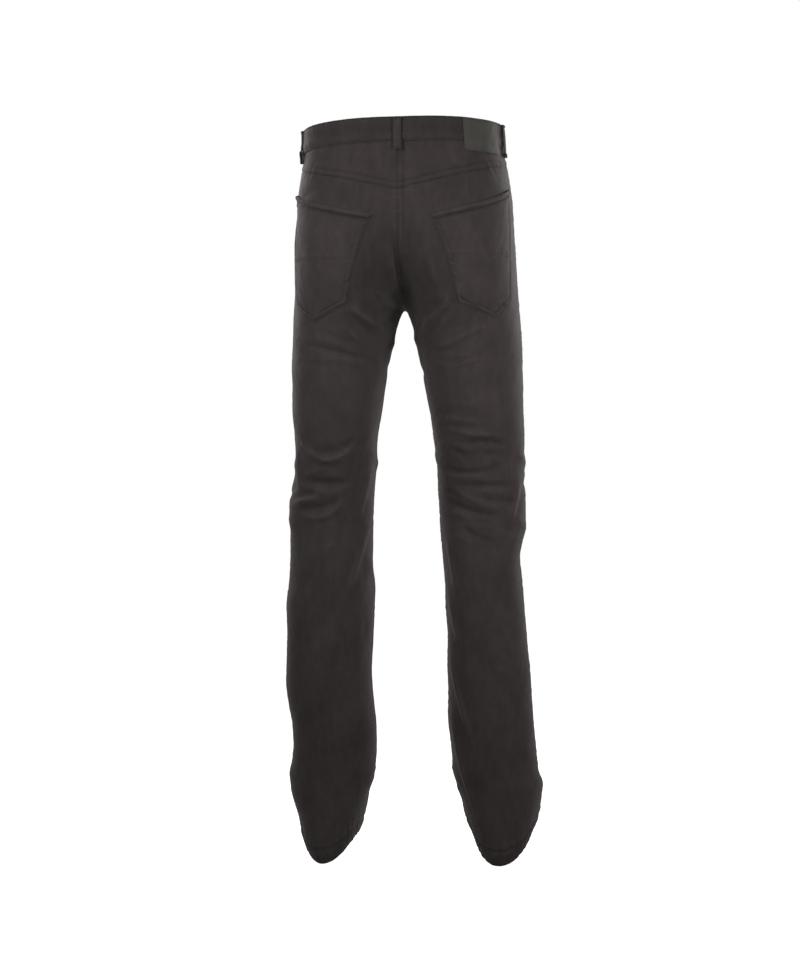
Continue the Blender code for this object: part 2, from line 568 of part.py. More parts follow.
def make_band(side, material):
    """Half of the waistband. The left end laps over the right one at the centre front."""
    front_width = half_width(side, "front", BAND_MIDDLE["front"])[0]
    lap = BAND_LAP / front_width
    past = np.array([-lap, -lap / 2])
    turns = np.concatenate([past, panel_turns("front"), panel_turns("back")[1:]])
    low = band_middle(np.clip(turns, 0, 2)) - BAND_HEIGHT / 2 + SEAM_GAP / 2
    heights = low[None, :] + BAND_HEIGHT * np.linspace(0, 1, BAND_ROWS + 1)[:, None]
    arc = np.broadcast_to(turns * front_width, heights.shape)
    ramp = np.clip((BAND_LAP_FLAT + BAND_LAP_FADE - arc) / BAND_LAP_FADE, 0, 1)
    lift = BAND_PROUD + (BAND_LAP_LIFT * ramp * ramp * (3 - 2 * ramp) if side == LEFT else 0)
    lift = np.broadcast_to(lift, heights.shape)
    thickness = np.full(heights.shape, BAND_CLOTH)
    own = [wall(side, np.broadcast_to(np.clip(turns, 0, 2), heights.shape), heights, lift, thickness)]
    own.append(wall(-side, np.broadcast_to(np.abs(turns), heights.shape), heights, lift, thickness))
    beyond = np.broadcast_to((turns < 0)[None, :, None], heights.shape + (3,))
    outer, inner = (np.where(beyond, own[1][k], own[0][k]) for k in (0, 1))
    for sheet in (outer, inner):
        sheet[:, -1, 0] = side * SEAM_GAP / 2
    return add_wall(f"waistband_{SIDES[side]}", outer, inner, material)


# Back pockets: corners as (distance from the side seam along the cloth, height).
POCKET_LIFT = 0.0008       # air under the pocket cloth
POCKET_RIM = 0.0010        # how much thicker its turned mouth is
POCKET_CORNERS = {
    LEFT: dict(mouth_side=(0.045, -0.0795), mouth_back=(0.2025, -0.1190), foot_side=(0.058, -0.238),
               foot_tip=(0.106, -0.2675), foot_back=(0.163, -0.2430)),
    RIGHT: dict(mouth_side=(0.042, -0.0795), mouth_back=(0.1965, -0.1210), foot_side=(0.058, -0.240),
                foot_tip=(0.096, -0.2680), foot_back=(0.158, -0.2465)),
}
POCKET_SAG = 0.003
POCKET_COLUMNS = 12
POCKET_TIP_COLUMN = 4
POCKET_ROWS = (0.0, 0.018, 0.036, 0.055, 0.15, 0.26, 0.37, 0.48, 0.60, 0.73, 0.86, 1.0)
POCKET_RIM_ROWS = (1.0, 1.15, 0.5)


def make_pocket(side, material):
    """A back pocket lying on the back panel, with a thicker turned mouth."""
    corner = {name: np.array(at) for name, at in POCKET_CORNERS[side].items()}
    share = np.linspace(0, 1, POCKET_COLUMNS + 1)[:, None]
    mouth = corner["mouth_side"] * (1 - share) + corner["mouth_back"] * share
    mouth[:, 1] -= POCKET_SAG * 4 * (share * (1 - share))[:, 0]
    tip = POCKET_TIP_COLUMN / POCKET_COLUMNS
    stations = (0, tip, 1)
    foot_points = [corner[name] for name in ("foot_side", "foot_tip", "foot_back")]
    foot = np.stack([np.interp(share[:, 0], stations, [p[k] for p in foot_points]) for k in (0, 1)], 1)
    down = np.array(POCKET_ROWS)[:, None, None]
    flat = mouth[None] * (1 - down) + foot[None] * down
    heights = flat[..., 1]
    width = half_width(side, "back", heights.ravel()).reshape(heights.shape)
    turns = 1 + flat[..., 0] / width
    rim = np.zeros(heights.shape)
    rim[:len(POCKET_RIM_ROWS)] = POCKET_RIM * np.array(POCKET_RIM_ROWS)[:, None]
    sheets = wall(side, turns, heights, POCKET_LIFT + CLOTH + rim, CLOTH + rim)
    return add_wall(f"pocket_{SIDES[side]}", *sheets, material)


LOOP_WIDTH = 0.0125
LOOP_CLOTH = 0.0018
LOOP_BELOW = 0.012         # how far a loop reaches below the waistband
LOOP_REST = 0.0014         # where its ends lie, above the panels
LOOP_TOP_INSET = 0.0008    # its upper end stops short of the waistband's edge
LOOP_FOOT = 0.94           # it lies flat from this share of its length down
LOOP_SPRING = 0.7          # exponent of its arch: 1 is a plain sine, less is boxier
LOOP_ROWS = 9
LOOP_SIDE_SET = 0.024      # distance of the side loops behind the side seam
LOOPS = {                  # name: (side, turn or None for the side loops, stand-off at the middle)
    "belt_loop_back": (LEFT, 2.0, 0.0016),
    "belt_loop_side_left": (LEFT, None, 0.0050),
    "belt_loop_side_right": (RIGHT, None, 0.0026),
    "belt_loop_front_left": (LEFT, 0.42, 0.0018),
    "belt_loop_front_right": (RIGHT, 0.42, 0.0020),
}


def make_loop(name, material):
    """A belt loop: a narrow strip that stands off the waistband between its sewn ends."""
    side, turn, standoff = LOOPS[name]
    if turn is None:
        turn = 1 + LOOP_SIDE_SET / half_width(side, "back", 0.0)[0]
    half = "back" if turn > 1 else "front"
    width = half_width(side, half, 0.0)[0]
    top = band_middle(np.array(turn)) + BAND_HEIGHT / 2 - LOOP_TOP_INSET
    bottom = top - BAND_HEIGHT - LOOP_BELOW
    share = np.linspace(0, 1, LOOP_ROWS + 1)
    heights = (top + (bottom - top) * share)[:, None] + np.zeros(3)
    offset = np.array((-0.5, 0.0, 0.5)) * LOOP_WIDTH / width
    turns = turn + np.broadcast_to(offset, heights.shape)
    bulge = standoff * np.sin(np.clip(share / LOOP_FOOT, 0, 1) * math.pi) ** LOOP_SPRING
    lift = (LOOP_REST + LOOP_CLOTH + bulge)[:, None] + np.zeros(3)
    outer, inner = wall(side, np.clip(turns, 0, 2), heights, lift, np.full(lift.shape, LOOP_CLOTH))
    if turn == 2.0:
        for sheet in (outer, inner):
            sheet[:, 1, 0] = 0.0
            sheet[:, 2] = sheet[:, 0] * np.array((-1, 1, 1))
    return add_wall(name, outer, inner, material)


PATCH_TOP_INSET = 0.0012
PATCH_HEIGHT = 0.0475
PATCH_NEAR, PATCH_FAR = 0.0475, 0.1185     # its edges' distances behind the right side seam
PATCH_THICKNESS = 0.0014
PATCH_LIFT = 0.0014
PATCH_COLUMNS, PATCH_ROWS = 8, 5


def make_patch(material):
    """The leatherette patch on the right of the waistband, reaching down over the yoke."""
    width = half_width(RIGHT, "back", 0.0)[0]
    turns = 1 + np.linspace(PATCH_NEAR, PATCH_FAR, PATCH_COLUMNS + 1) / width
    top = band_middle(turns) + BAND_HEIGHT / 2 - PATCH_TOP_INSET
    heights = top[None, :] - PATCH_HEIGHT * np.linspace(0, 1, PATCH_ROWS + 1)[:, None]
    turns = np.broadcast_to(turns, heights.shape)
    lift = np.full(heights.shape, PATCH_LIFT + PATCH_THICKNESS)
    sheets = wall(RIGHT, turns, heights, lift, np.full(heights.shape, PATCH_THICKNESS))
    return add_wall("patch", *sheets, material)


BUTTON_RADIUS = 0.0085
BUTTON_DEPTH = 0.0032
BUTTON_EDGE = 0.0009
BUTTON_CORNERS = 20
BUTTON_STAND = 0.0013      # the shank holds it this far off the band, which slants behind it


def make_button(material):
    """The shank button that closes the waistband, on the lapped end at the centre front."""
    height = BAND_MIDDLE["front"]
    face = bare(LEFT, 0.0, height)[1] - BAND_PROUD - BAND_LAP_LIFT - BUTTON_STAND
    bpy.ops.mesh.primitive_cylinder_add(
        vertices=BUTTON_CORNERS, radius=BUTTON_RADIUS, depth=BUTTON_DEPTH,
        location=(0, face - BUTTON_DEPTH / 2, height), rotation=(math.pi / 2, 0, 0))
    button = bpy.context.object
    button.name = "waist_button"
    bevel = button.modifiers.new("edge", "BEVEL")
    bevel.width = BUTTON_EDGE
    bevel.segments = 2
    button.data.materials.append(material)
    for collection in list(button.users_collection):
        collection.objects.unlink(button)
    bpy.data.collections[COLLECTION].objects.link(button)
    return button


COLLECTION = "knit_trousers"
for old in list(bpy.data.objects):
    bpy.data.objects.remove(old, do_unlink=True)
bpy.context.scene.collection.children.link(bpy.data.collections.new(COLLECTION))

knit = new_material("knit", (0.035, 0.030, 0.030), 0.9)
leatherette = new_material("leatherette", (0.065, 0.060, 0.055), 0.55)
metal = new_material("metal", (0.09, 0.085, 0.08), 0.4, metallic=1.0)

for body_side in (LEFT, RIGHT):
    make_panel(body_side, "front", knit)
    make_panel(body_side, "back", knit)
    make_yoke(body_side, knit)
    make_band(body_side, knit)
    make_pocket(body_side, knit)
for loop_name in LOOPS:
    make_loop(loop_name, knit)
make_patch(leatherette)
make_button(metal)
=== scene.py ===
"""Knit trousers in a jeans cut, filled out as if worn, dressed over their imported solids.

Metres, +Z up. The front faces -Y and the wearer's left is +X. The origin is the middle of the
waistband. The sections follow the order in which a maker would sew the pieces together.
"""

import math

import bpy
import numpy as np
from mathutils import Matrix, Vector


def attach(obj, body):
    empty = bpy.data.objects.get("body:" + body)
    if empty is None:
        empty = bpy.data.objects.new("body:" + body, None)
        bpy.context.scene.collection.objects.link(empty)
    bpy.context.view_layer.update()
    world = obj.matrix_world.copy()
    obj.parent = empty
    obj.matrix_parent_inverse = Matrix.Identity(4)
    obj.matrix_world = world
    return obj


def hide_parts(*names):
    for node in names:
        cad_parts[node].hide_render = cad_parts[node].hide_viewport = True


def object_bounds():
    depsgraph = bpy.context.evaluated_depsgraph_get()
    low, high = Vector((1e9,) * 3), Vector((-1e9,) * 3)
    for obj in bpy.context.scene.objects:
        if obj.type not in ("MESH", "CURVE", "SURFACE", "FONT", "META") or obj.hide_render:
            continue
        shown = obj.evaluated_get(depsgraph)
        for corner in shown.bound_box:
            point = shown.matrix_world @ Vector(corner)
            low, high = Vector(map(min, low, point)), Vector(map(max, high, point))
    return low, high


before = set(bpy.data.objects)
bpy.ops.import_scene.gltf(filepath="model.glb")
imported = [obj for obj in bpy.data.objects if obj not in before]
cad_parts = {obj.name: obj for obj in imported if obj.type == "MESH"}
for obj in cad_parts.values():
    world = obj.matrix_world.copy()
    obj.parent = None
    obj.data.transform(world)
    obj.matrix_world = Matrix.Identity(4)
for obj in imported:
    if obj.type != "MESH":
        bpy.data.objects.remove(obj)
cad_low, cad_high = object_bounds()

# ----------------------------------------------------------------------------------------------
# The studio. A white floor just under the hems, white all round, two soft boxes behind the
# trousers and two in front of them, and a narrow one low behind that fills the shade between
# the legs. The camera stands 3.5 m behind the trousers at the height of the knees, turned a
# little to the wearer's right and rolled by one degree.
CAMERA_DISTANCE = 3.5
CAMERA_TURN = math.radians(184.4)
CAMERA_ROLL = math.radians(1.1)
CAMERA_HEIGHT = -0.5095
CAMERA_AIM_RIGHT = -0.0142          # the trousers stand right of the picture's centre
CAMERA_SIGHT = 60.0                 # how far it sees
PICTURE_LONG_SIDE = 977
METRES_PER_PIXEL = 1.475e-3         # at the garment's middle
SENSOR = 36.0
STUDIO_WHITE = (1.0, 1.0, 1.0, 1.0)
STUDIO_GLOW = 0.15                  # what lights the trousers; the camera sees plain white
FLOOR_RADIUS = 9.0
FLOOR_GAP = 0.0015                  # between the lowest hem and the floor
FLOOR_SIDES = 64
FLOOR_DARK, FLOOR_GREY, FLOOR_LIGHT = (0.38,) * 3, (0.40,) * 3, (0.42,) * 3
FLOOR_SPECKLE = 30.0                # specks to a metre
SOFT_LIGHTS = (                     # name, place, aimed at, size, watts, spread in degrees
    ("key_left", (0.84, 0.78, 0.28), (0.0, 0.0, -0.20), 0.5, 14.0, 180),
    ("key_right", (-0.86, 0.76, -0.18), (0.0, 0.0, -0.25), 0.5, 11.6, 180),
    ("front_left", (0.80, -1.00, 0.35), (0.0, 0.0, -0.30), 0.6, 18.0, 180),
    ("front_right", (-0.85, -0.95, 0.15), (0.0, 0.0, -0.30), 0.6, 15.0, 180),
    ("low_fill", (0.06, 1.30, -0.66), (0.0, 0.03, -0.250), 0.3, 0.09, 16),
)


def placed(name, data):
    """A new object in the scene."""
    made = bpy.data.objects.new(name, data)
    bpy.context.scene.collection.objects.link(made)
    return made


def point_at(place, target, roll=0.0):
    """A matrix for something at place that looks at target, with +Z up."""
    back = (Vector(place) - Vector(target)).normalized()
    right = Vector((0, 0, 1)).cross(back).normalized()
    axes = Matrix((right, back.cross(right), back)).transposed().to_4x4()
    return Matrix.Translation(place) @ axes @ Matrix.Rotation(-roll, 4, "Z")


behind = Vector((math.sin(CAMERA_TURN), -math.cos(CAMERA_TURN), 0.0))
camera_right = Vector((0, 0, 1)).cross(behind)
aim = camera_right * CAMERA_AIM_RIGHT + Vector((0, 0, CAMERA_HEIGHT))
camera = placed("camera", bpy.data.cameras.new("camera"))
camera.matrix_world = point_at(aim + behind * CAMERA_DISTANCE, aim, CAMERA_ROLL)
camera.data.sensor_width = SENSOR
camera.data.lens = SENSOR * CAMERA_DISTANCE / (PICTURE_LONG_SIDE * METRES_PER_PIXEL)
camera.data.clip_end = CAMERA_SIGHT
bpy.context.scene.camera = camera
bpy.context.scene.view_settings.view_transform = "Standard"

for light_name, light_place, light_target, light_size, watts, spread in SOFT_LIGHTS:
    lamp = bpy.data.lights.new(light_name, "AREA")
    lamp.size, lamp.energy, lamp.spread = light_size, watts, math.radians(spread)
    light = placed(light_name, lamp)
    light.matrix_world = point_at(light_place, light_target)
    light.visible_camera = False


def feed(tree, node, inputs):
    """Gives a node's sockets, by name or number, a value or another node's output."""
    for socket, value in inputs.items():
        if isinstance(value, bpy.types.NodeSocket):
            tree.links.new(value, node.inputs[socket])
        else:
            node.inputs[socket].default_value = value


def add_node(tree, kind, settings=None, inputs=None):
    """A new node with its settings and what feeds it."""
    made = tree.nodes.new(kind)
    for name, value in (settings or {}).items():
        setattr(made, name, value)
    feed(tree, made, inputs or {})
    return made


def reckon(tree, operation, *values):
    """The output of a Math node."""
    return add_node(tree, "ShaderNodeMath", {"operation": operation},
                    dict(enumerate(values))).outputs[0]


def noise(tree, place, scale, **more):
    """An uneven pattern, read from places in metres."""
    return add_node(tree, "ShaderNodeTexNoise", inputs={
        "Vector": place, "Scale": scale, **more}).outputs["Fac"]


def mixed(tree, share, dark, light):
    """A colour between two shades."""
    return add_node(tree, "ShaderNodeMix", {"data_type": "RGBA"}, {
        0: share, 6: (*dark, 1.0), 7: (*light, 1.0)}).outputs[2]


def plain_material(name, colour, roughness, metallic=0.0):
    """A material, its node tree, its Principled shader and the places on the piece."""
    material = bpy.data.materials.new(name)
    material.use_nodes = True
    tree = material.node_tree
    shader = tree.nodes["Principled BSDF"]
    feed(tree, shader, {"Base Color": (*colour, 1.0), "Roughness": roughness, "Metallic": metallic})
    return material, tree, shader, add_node(tree, "ShaderNodeTexCoord").outputs["Object"]


studio = bpy.data.worlds.new("studio")
studio.use_nodes = True
studio_tree = studio.node_tree
seen = add_node(studio_tree, "ShaderNodeLightPath").outputs["Is Camera Ray"]
feed(studio_tree, studio_tree.nodes["Background"], {
    "Color": STUDIO_WHITE,
    "Strength": reckon(studio_tree, "MULTIPLY_ADD", seen, 1.0 - STUDIO_GLOW, STUDIO_GLOW)})
bpy.context.scene.world = studio

floor_paint, paint_tree, paint_shader, floor_place = plain_material("floor_paint", FLOOR_GREY, 0.9)
speckle = noise(paint_tree, floor_place, FLOOR_SPECKLE)
feed(paint_tree, paint_shader, {
    "Base Color": mixed(paint_tree, speckle, FLOOR_DARK, FLOOR_LIGHT),
    "Emission Color": STUDIO_WHITE,
    "Emission Strength": add_node(paint_tree, "ShaderNodeLightPath").outputs["Is Camera Ray"]})
floor_mesh = bpy.data.meshes.new("floor")
floor_angles = [2 * math.pi * k / FLOOR_SIDES for k in range(FLOOR_SIDES)]
floor_rim = [(FLOOR_RADIUS * math.cos(angle), FLOOR_RADIUS * math.sin(angle),
              cad_low[2] - FLOOR_GAP) for angle in floor_angles]
floor_mesh.from_pydata(floor_rim, [], [tuple(range(FLOOR_SIDES))])
floor_mesh.materials.append(floor_paint)
floor = placed("floor", floor_mesh)

# ----------------------------------------------------------------------------------------------
# The leg panels. Two fronts and two backs of heavy brushed knit, cut like jeans, joined at the
# side seams and inseams, each with a hem turned up inside and stitched once. Every piece of the
# garment lies on one surface. A level section of one side of it is a ring: turn runs from 0 at
# the inseam (or the centre-front seam) over the front to 1 at the side seam, and over the back
# to 2 at the inseam (or the centre-back seam).
LEFT, RIGHT = 1, -1
SIDES = {LEFT: "left", RIGHT: "right"}
CLOTH = 0.0016             # wall of one layer of the heavy knit
BAND_CLOTH = 0.0028        # waistband: two layers and a stay
BAND_PROUD = 0.0008        # how far the waistband stands out from the panels below it
CROTCH = -0.2490           # height of the crotch point
HEM_START = -0.965         # below this height the rows slant into the hem

FULLNESS = 2.15            # exponent of the rings: 2 is an ellipse, more is squarer
RING_STEPS = 90            # points along half a ring, for measuring it

# The seat seam in side view, as a curve that is flat at the crotch and upright further up.
SEAT_RISE_BACK = 0.150
SEAT_RISE_FRONT = 0.110
SEAT_BEND = 1.75
SEAT_LIMIT = 0.985         # the centre seams stay this share of the depth above the curve
ARCH_RADIUS = 0.0030       # roundness of the arch between the legs
ARCH_REACH = 0.060         # how far down the arch is felt

HEM_SIDE = -1.013
HEM_BACK_DROP = {LEFT: 0.0370, RIGHT: 0.0425}    # the hem falls behind the heel
HEM_POINT = 2.2            # how pointed the fall is: 1 is a slanted plane
HEM_FRONT_LIFT = 0.011     # and lies higher on the instep
HEM_LOWEST = {LEFT: 0.44, RIGHT: 0.53}   # share of the back's width where the hem is lowest

BAND_HEIGHT = 0.0355
BAND_MIDDLE = {"front": -0.014, "side": 0.000, "back": 0.0046}
BAND_LAP = 0.017           # the left end laps this far past the centre front
BAND_LAP_LIFT = 0.0037     # and lies this much further out, over the right end
BAND_LAP_FLAT = 0.019      # it does so up to this distance on its own side of the centre front
BAND_LAP_FADE = 0.013      # and comes back to the waist's surface over this much more
YOKE_SIDE, YOKE_BACK = -0.0385, -0.0820  # heights of the yoke seam at the side and centre back
YOKE_CURVE = 1.25          # it dips more steeply towards the centre back


def table(names, rows):
    """The named columns of a table in thousandths, as arrays that run upwards in height."""
    return dict(zip(names.split(), np.array(sorted(rows)).T / 1000))


# The outline seen from behind, in millimetres: the centre seam's place, and how far each side
# reaches outwards and inwards. The inward reach counts from the crotch down.
OUTLINE = table("height centre left_out right_out left_in right_in", (
    (24, 0, 146, 148, 0, 0),
    (-18, 0, 146.5, 149.5, 0, 0),
    (-50, 0.3, 150, 154.3, 0, 0),
    (-80, 0.4, 154.8, 158.3, 0, 0),
    (-110, 0.7, 157, 160.5, 0, 0),
    (-145, 1.1, 161, 162, 0, 0),
    (-190, 1.6, 161.5, 163.8, 0, 0),
    (-249, 2.1, 165.5, 166.7, 2.1, -2.1),
    (-270, 2.3, 167.2, 167.6, 14, 8.6),
    (-310, 2.8, 169.3, 169.7, 23.6, 17.3),
    (-355, 3.1, 170.8, 170, 33, 25),
    (-400, 3.1, 171.4, 169.8, 41.2, 32.5),
    (-430, 3.1, 169.5, 170, 45.8, 36.5),
    (-460, 3.1, 168.2, 169.7, 48.4, 39.7),
    (-490, 3.1, 171.9, 169.5, 50.9, 41.5),
    (-512, 3.1, 177.5, 170.4, 52.7, 42.7),
    (-525, 3.1, 178.4, 170.7, 53.6, 43.4),
    (-550, 3.1, 178.2, 170, 54.7, 44.2),
    (-580, 3.1, 178.2, 166.8, 55.3, 44.8),
    (-610, 3.1, 178.2, 161.8, 56.4, 46.4),
    (-640, 3.1, 180.1, 162.8, 56.2, 49.3),
    (-675, 3.1, 184.8, 165.5, 55.5, 51.4),
    (-715, 3.1, 185, 168.5, 56.2, 51.8),
    (-755, 3.1, 185.2, 171, 59, 51.4),
    (-795, 3.1, 186.7, 173.5, 59.6, 51.2),
    (-825, 3.1, 184.2, 175.2, 57.3, 51.5),
    (-855, 3.1, 178.8, 177, 54.3, 52),
    (-880, 3.1, 177.4, 178.3, 54.9, 54.3),
    (-905, 3.1, 180.4, 179.8, 55.8, 56.2),
    (-925, 3.1, 182.3, 182, 57.5, 56.2),
    (-948, 3.1, 182.4, 186.8, 65.8, 64.2),
    (-970, 3.1, 177.5, 184.8, 70.3, 70.2),
    (-992, 3.1, 170.5, 181, 75.7, 74.5),
    (-1013, 3.1, 167.8, 176.8, 78.5, 80),
    (-1052, 3.1, 166.5, 175.5, 80, 81.5),
))

# The outline seen from the side: the front and back and the side seam in millimetres, and where
# across each half the front and the back reach furthest, in thousandths from its inner edge.
PROFILE = table("height front back side front_at back_at", (
    (24, 102, 112, 4, 100, 260),
    (-18, 105, 116, 4, 110, 280),
    (-60, 108.5, 123.5, 5, 140, 330),
    (-100, 110.5, 129.5, 6, 180, 380),
    (-140, 110, 132.5, 6, 240, 420),
    (-180, 107, 130, 4.5, 310, 450),
    (-215, 102.5, 122.5, 2, 390, 480),
    (-249, 98, 110, -0.5, 460, 500),
    (-280, 95, 100.5, -2, 500, 500),
    (-320, 92, 91.5, -3.5, 500, 500),
    (-375, 88.5, 82.5, -5, 500, 500),
    (-430, 83.5, 71.5, -7, 500, 500),
    (-490, 76, 60, -8.5, 500, 500),
    (-550, 69, 59.5, -5, 500, 500),
    (-610, 64, 65.5, 0, 500, 500),
    (-670, 60, 71.5, 4.5, 500, 500),
    (-730, 57, 74.5, 8, 500, 500),
    (-790, 54, 75.5, 10, 500, 500),
    (-850, 51, 75.5, 12, 500, 500),
    (-900, 50, 74, 12, 500, 500),
    (-932, 51.5, 73.5, 11.5, 500, 500),
    (-962, 56, 76.5, 11, 500, 500),
    (-990, 61.5, 81, 10.5, 500, 500),
    (-1052, 68, 84, 10, 500, 500),
))


def ease(x):
    """A smooth step from 0 to 1."""
    x = np.clip(x, 0, 1)
    return x * x * (3 - 2 * x)


def bump(distance, width):
    """A soft bell of the given width."""
    return np.exp(-(distance / width) ** 2)


def read(columns, name, height):
    """A smooth curve through one column of a table, at any heights."""
    knots, values = columns["height"], columns[name]
    slopes = np.gradient(values, knots)
    height = np.clip(height, knots[0], knots[-1])
    below = np.clip(np.searchsorted(knots, height) - 1, 0, len(knots) - 2)
    span = knots[below + 1] - knots[below]
    t = (height - knots[below]) / span
    rise = ease(t)
    start = t * (1 - t) ** 2 * span * slopes[below]
    end = -t * t * (1 - t) * span * slopes[below + 1]
    return values[below] * (1 - rise) + values[below + 1] * rise + start + end


def inner_reach(side, height):
    """Distance from the centre seam's plane to the inseam, which opens like an arch."""
    centre = read(OUTLINE, "centre", height)
    name = SIDES[side] + "_in"
    knots = dict(height=OUTLINE["height"])
    knots["square"] = np.maximum(OUTLINE[name] - side * OUTLINE["centre"], 0) ** 2
    knots["square"][OUTLINE["height"] > CROTCH] = 0.0
    return np.sqrt(np.maximum(read(knots, "square", height), 0)), centre


def arch(drop):
    """How much wider the arch is at a drop below the crotch seam."""
    drop = np.maximum(drop, 0)
    return np.sqrt(2 * ARCH_RADIUS * drop) * np.exp(-drop / ARCH_REACH)


def half_ring(side, half, height):
    """Points along the front or back half of one side's ring, from the inseam to the side seam."""
    reach, centre = inner_reach(side, height)
    outer = read(OUTLINE, SIDES[side] + "_out", height) - side * centre
    middle = read(PROFILE, "side", height)
    depth = read(PROFILE, half, height) * (-1 if half == "front" else 1) - middle
    drop = CROTCH - height
    inner = np.maximum(reach - arch(drop), 0)
    crown = inner + read(PROFILE, half + "_at", height) * (outer - inner)
    rise = SEAT_RISE_FRONT if half == "front" else SEAT_RISE_BACK
    above = np.clip((height - CROTCH) / rise, 0, 1)
    share = np.minimum(np.sqrt(1 - (1 - above) ** SEAT_BEND), SEAT_LIMIT)
    above_width = crown / (1 - share ** FULLNESS) ** (1 / FULLNESS)
    width = np.where(height > CROTCH, above_width, crown - inner)
    first = np.arccos(np.clip(crown / width, -1, 1) ** (FULLNESS / 2))
    first = np.where(height > CROTCH, first, 0.0)
    step = np.linspace(0, 1, RING_STEPS)
    angle = first[:, None] + (math.pi - first[:, None]) * step
    power = 2 / FULLNESS
    across = np.abs(np.cos(angle)) ** power
    along = np.abs(np.sin(angle)) ** power
    inside = angle < math.pi / 2
    x = crown[:, None] + across * np.where(inside, -width[:, None], (outer - crown)[:, None])
    seam = rise * (1 - (1 - np.minimum(along, 1) ** 2) ** (1 / SEAT_BEND))
    x += np.where(inside, arch(drop[:, None] + seam) * across, 0)
    y = middle[:, None] + depth[:, None] * along
    return centre[:, None] + side * np.maximum(x, 0), y


def lengths(x, y):
    """Distance walked along each ring."""
    walked = np.hypot(np.diff(x, axis=1), np.diff(y, axis=1))
    return np.hstack([np.zeros((len(x), 1)), np.cumsum(walked, axis=1)])


def half_width(side, half, height):
    """Width of the cloth from the inseam or centre seam to the side seam, at any heights."""
    height = np.asarray(height, float)
    return lengths(*half_ring(side, half, height.ravel()))[:, -1].reshape(height.shape)[()]


def bare(side, turn, height):
    """Points of the cloth without its folds."""
    turn, height = (np.asarray(v, float) for v in np.broadcast_arrays(turn, height))
    flat_turn, flat_height = turn.ravel(), height.ravel()
    points = np.empty((flat_turn.size, 3))
    for half, chosen in (("front", flat_turn <= 1), ("back", flat_turn > 1)):
        if not chosen.any():
            continue
        x, y = half_ring(side, half, flat_height[chosen])
        walked = lengths(x, y)
        part = flat_turn[chosen] if half == "front" else 2 - flat_turn[chosen]
        goal = np.clip(part, 0, 1) * walked[:, -1]
        k = np.clip((walked < goal[:, None]).sum(axis=1) - 1, 0, RING_STEPS - 2)
        row = np.arange(len(goal))
        t = (goal - walked[row, k]) / np.maximum(walked[row, k + 1] - walked[row, k], 1e-12)
        points[chosen, 0] = x[row, k] * (1 - t) + x[row, k + 1] * t
        points[chosen, 1] = y[row, k] * (1 - t) + y[row, k + 1] * t
        points[chosen, 2] = flat_height[chosen]
    return points.reshape(turn.shape + (3,))


def facing(surface, side, turn, height):
    """Outward normals of a surface, from two small steps on it."""
    turn_step, height_step = 0.004, 0.0008
    low = np.clip(turn - turn_step, 0, 2)
    high = np.clip(turn + turn_step, 0, 2)
    low = np.where((turn > 1) & (low <= 1), 1 + 1e-9, low)
    around = surface(side, high, height) - surface(side, low, height)
    upward = surface(side, turn, height + height_step) - surface(side, turn, height - height_step)
    normal = side * np.cross(around, upward)
    return normal / np.linalg.norm(normal, axis=-1, keepdims=True)


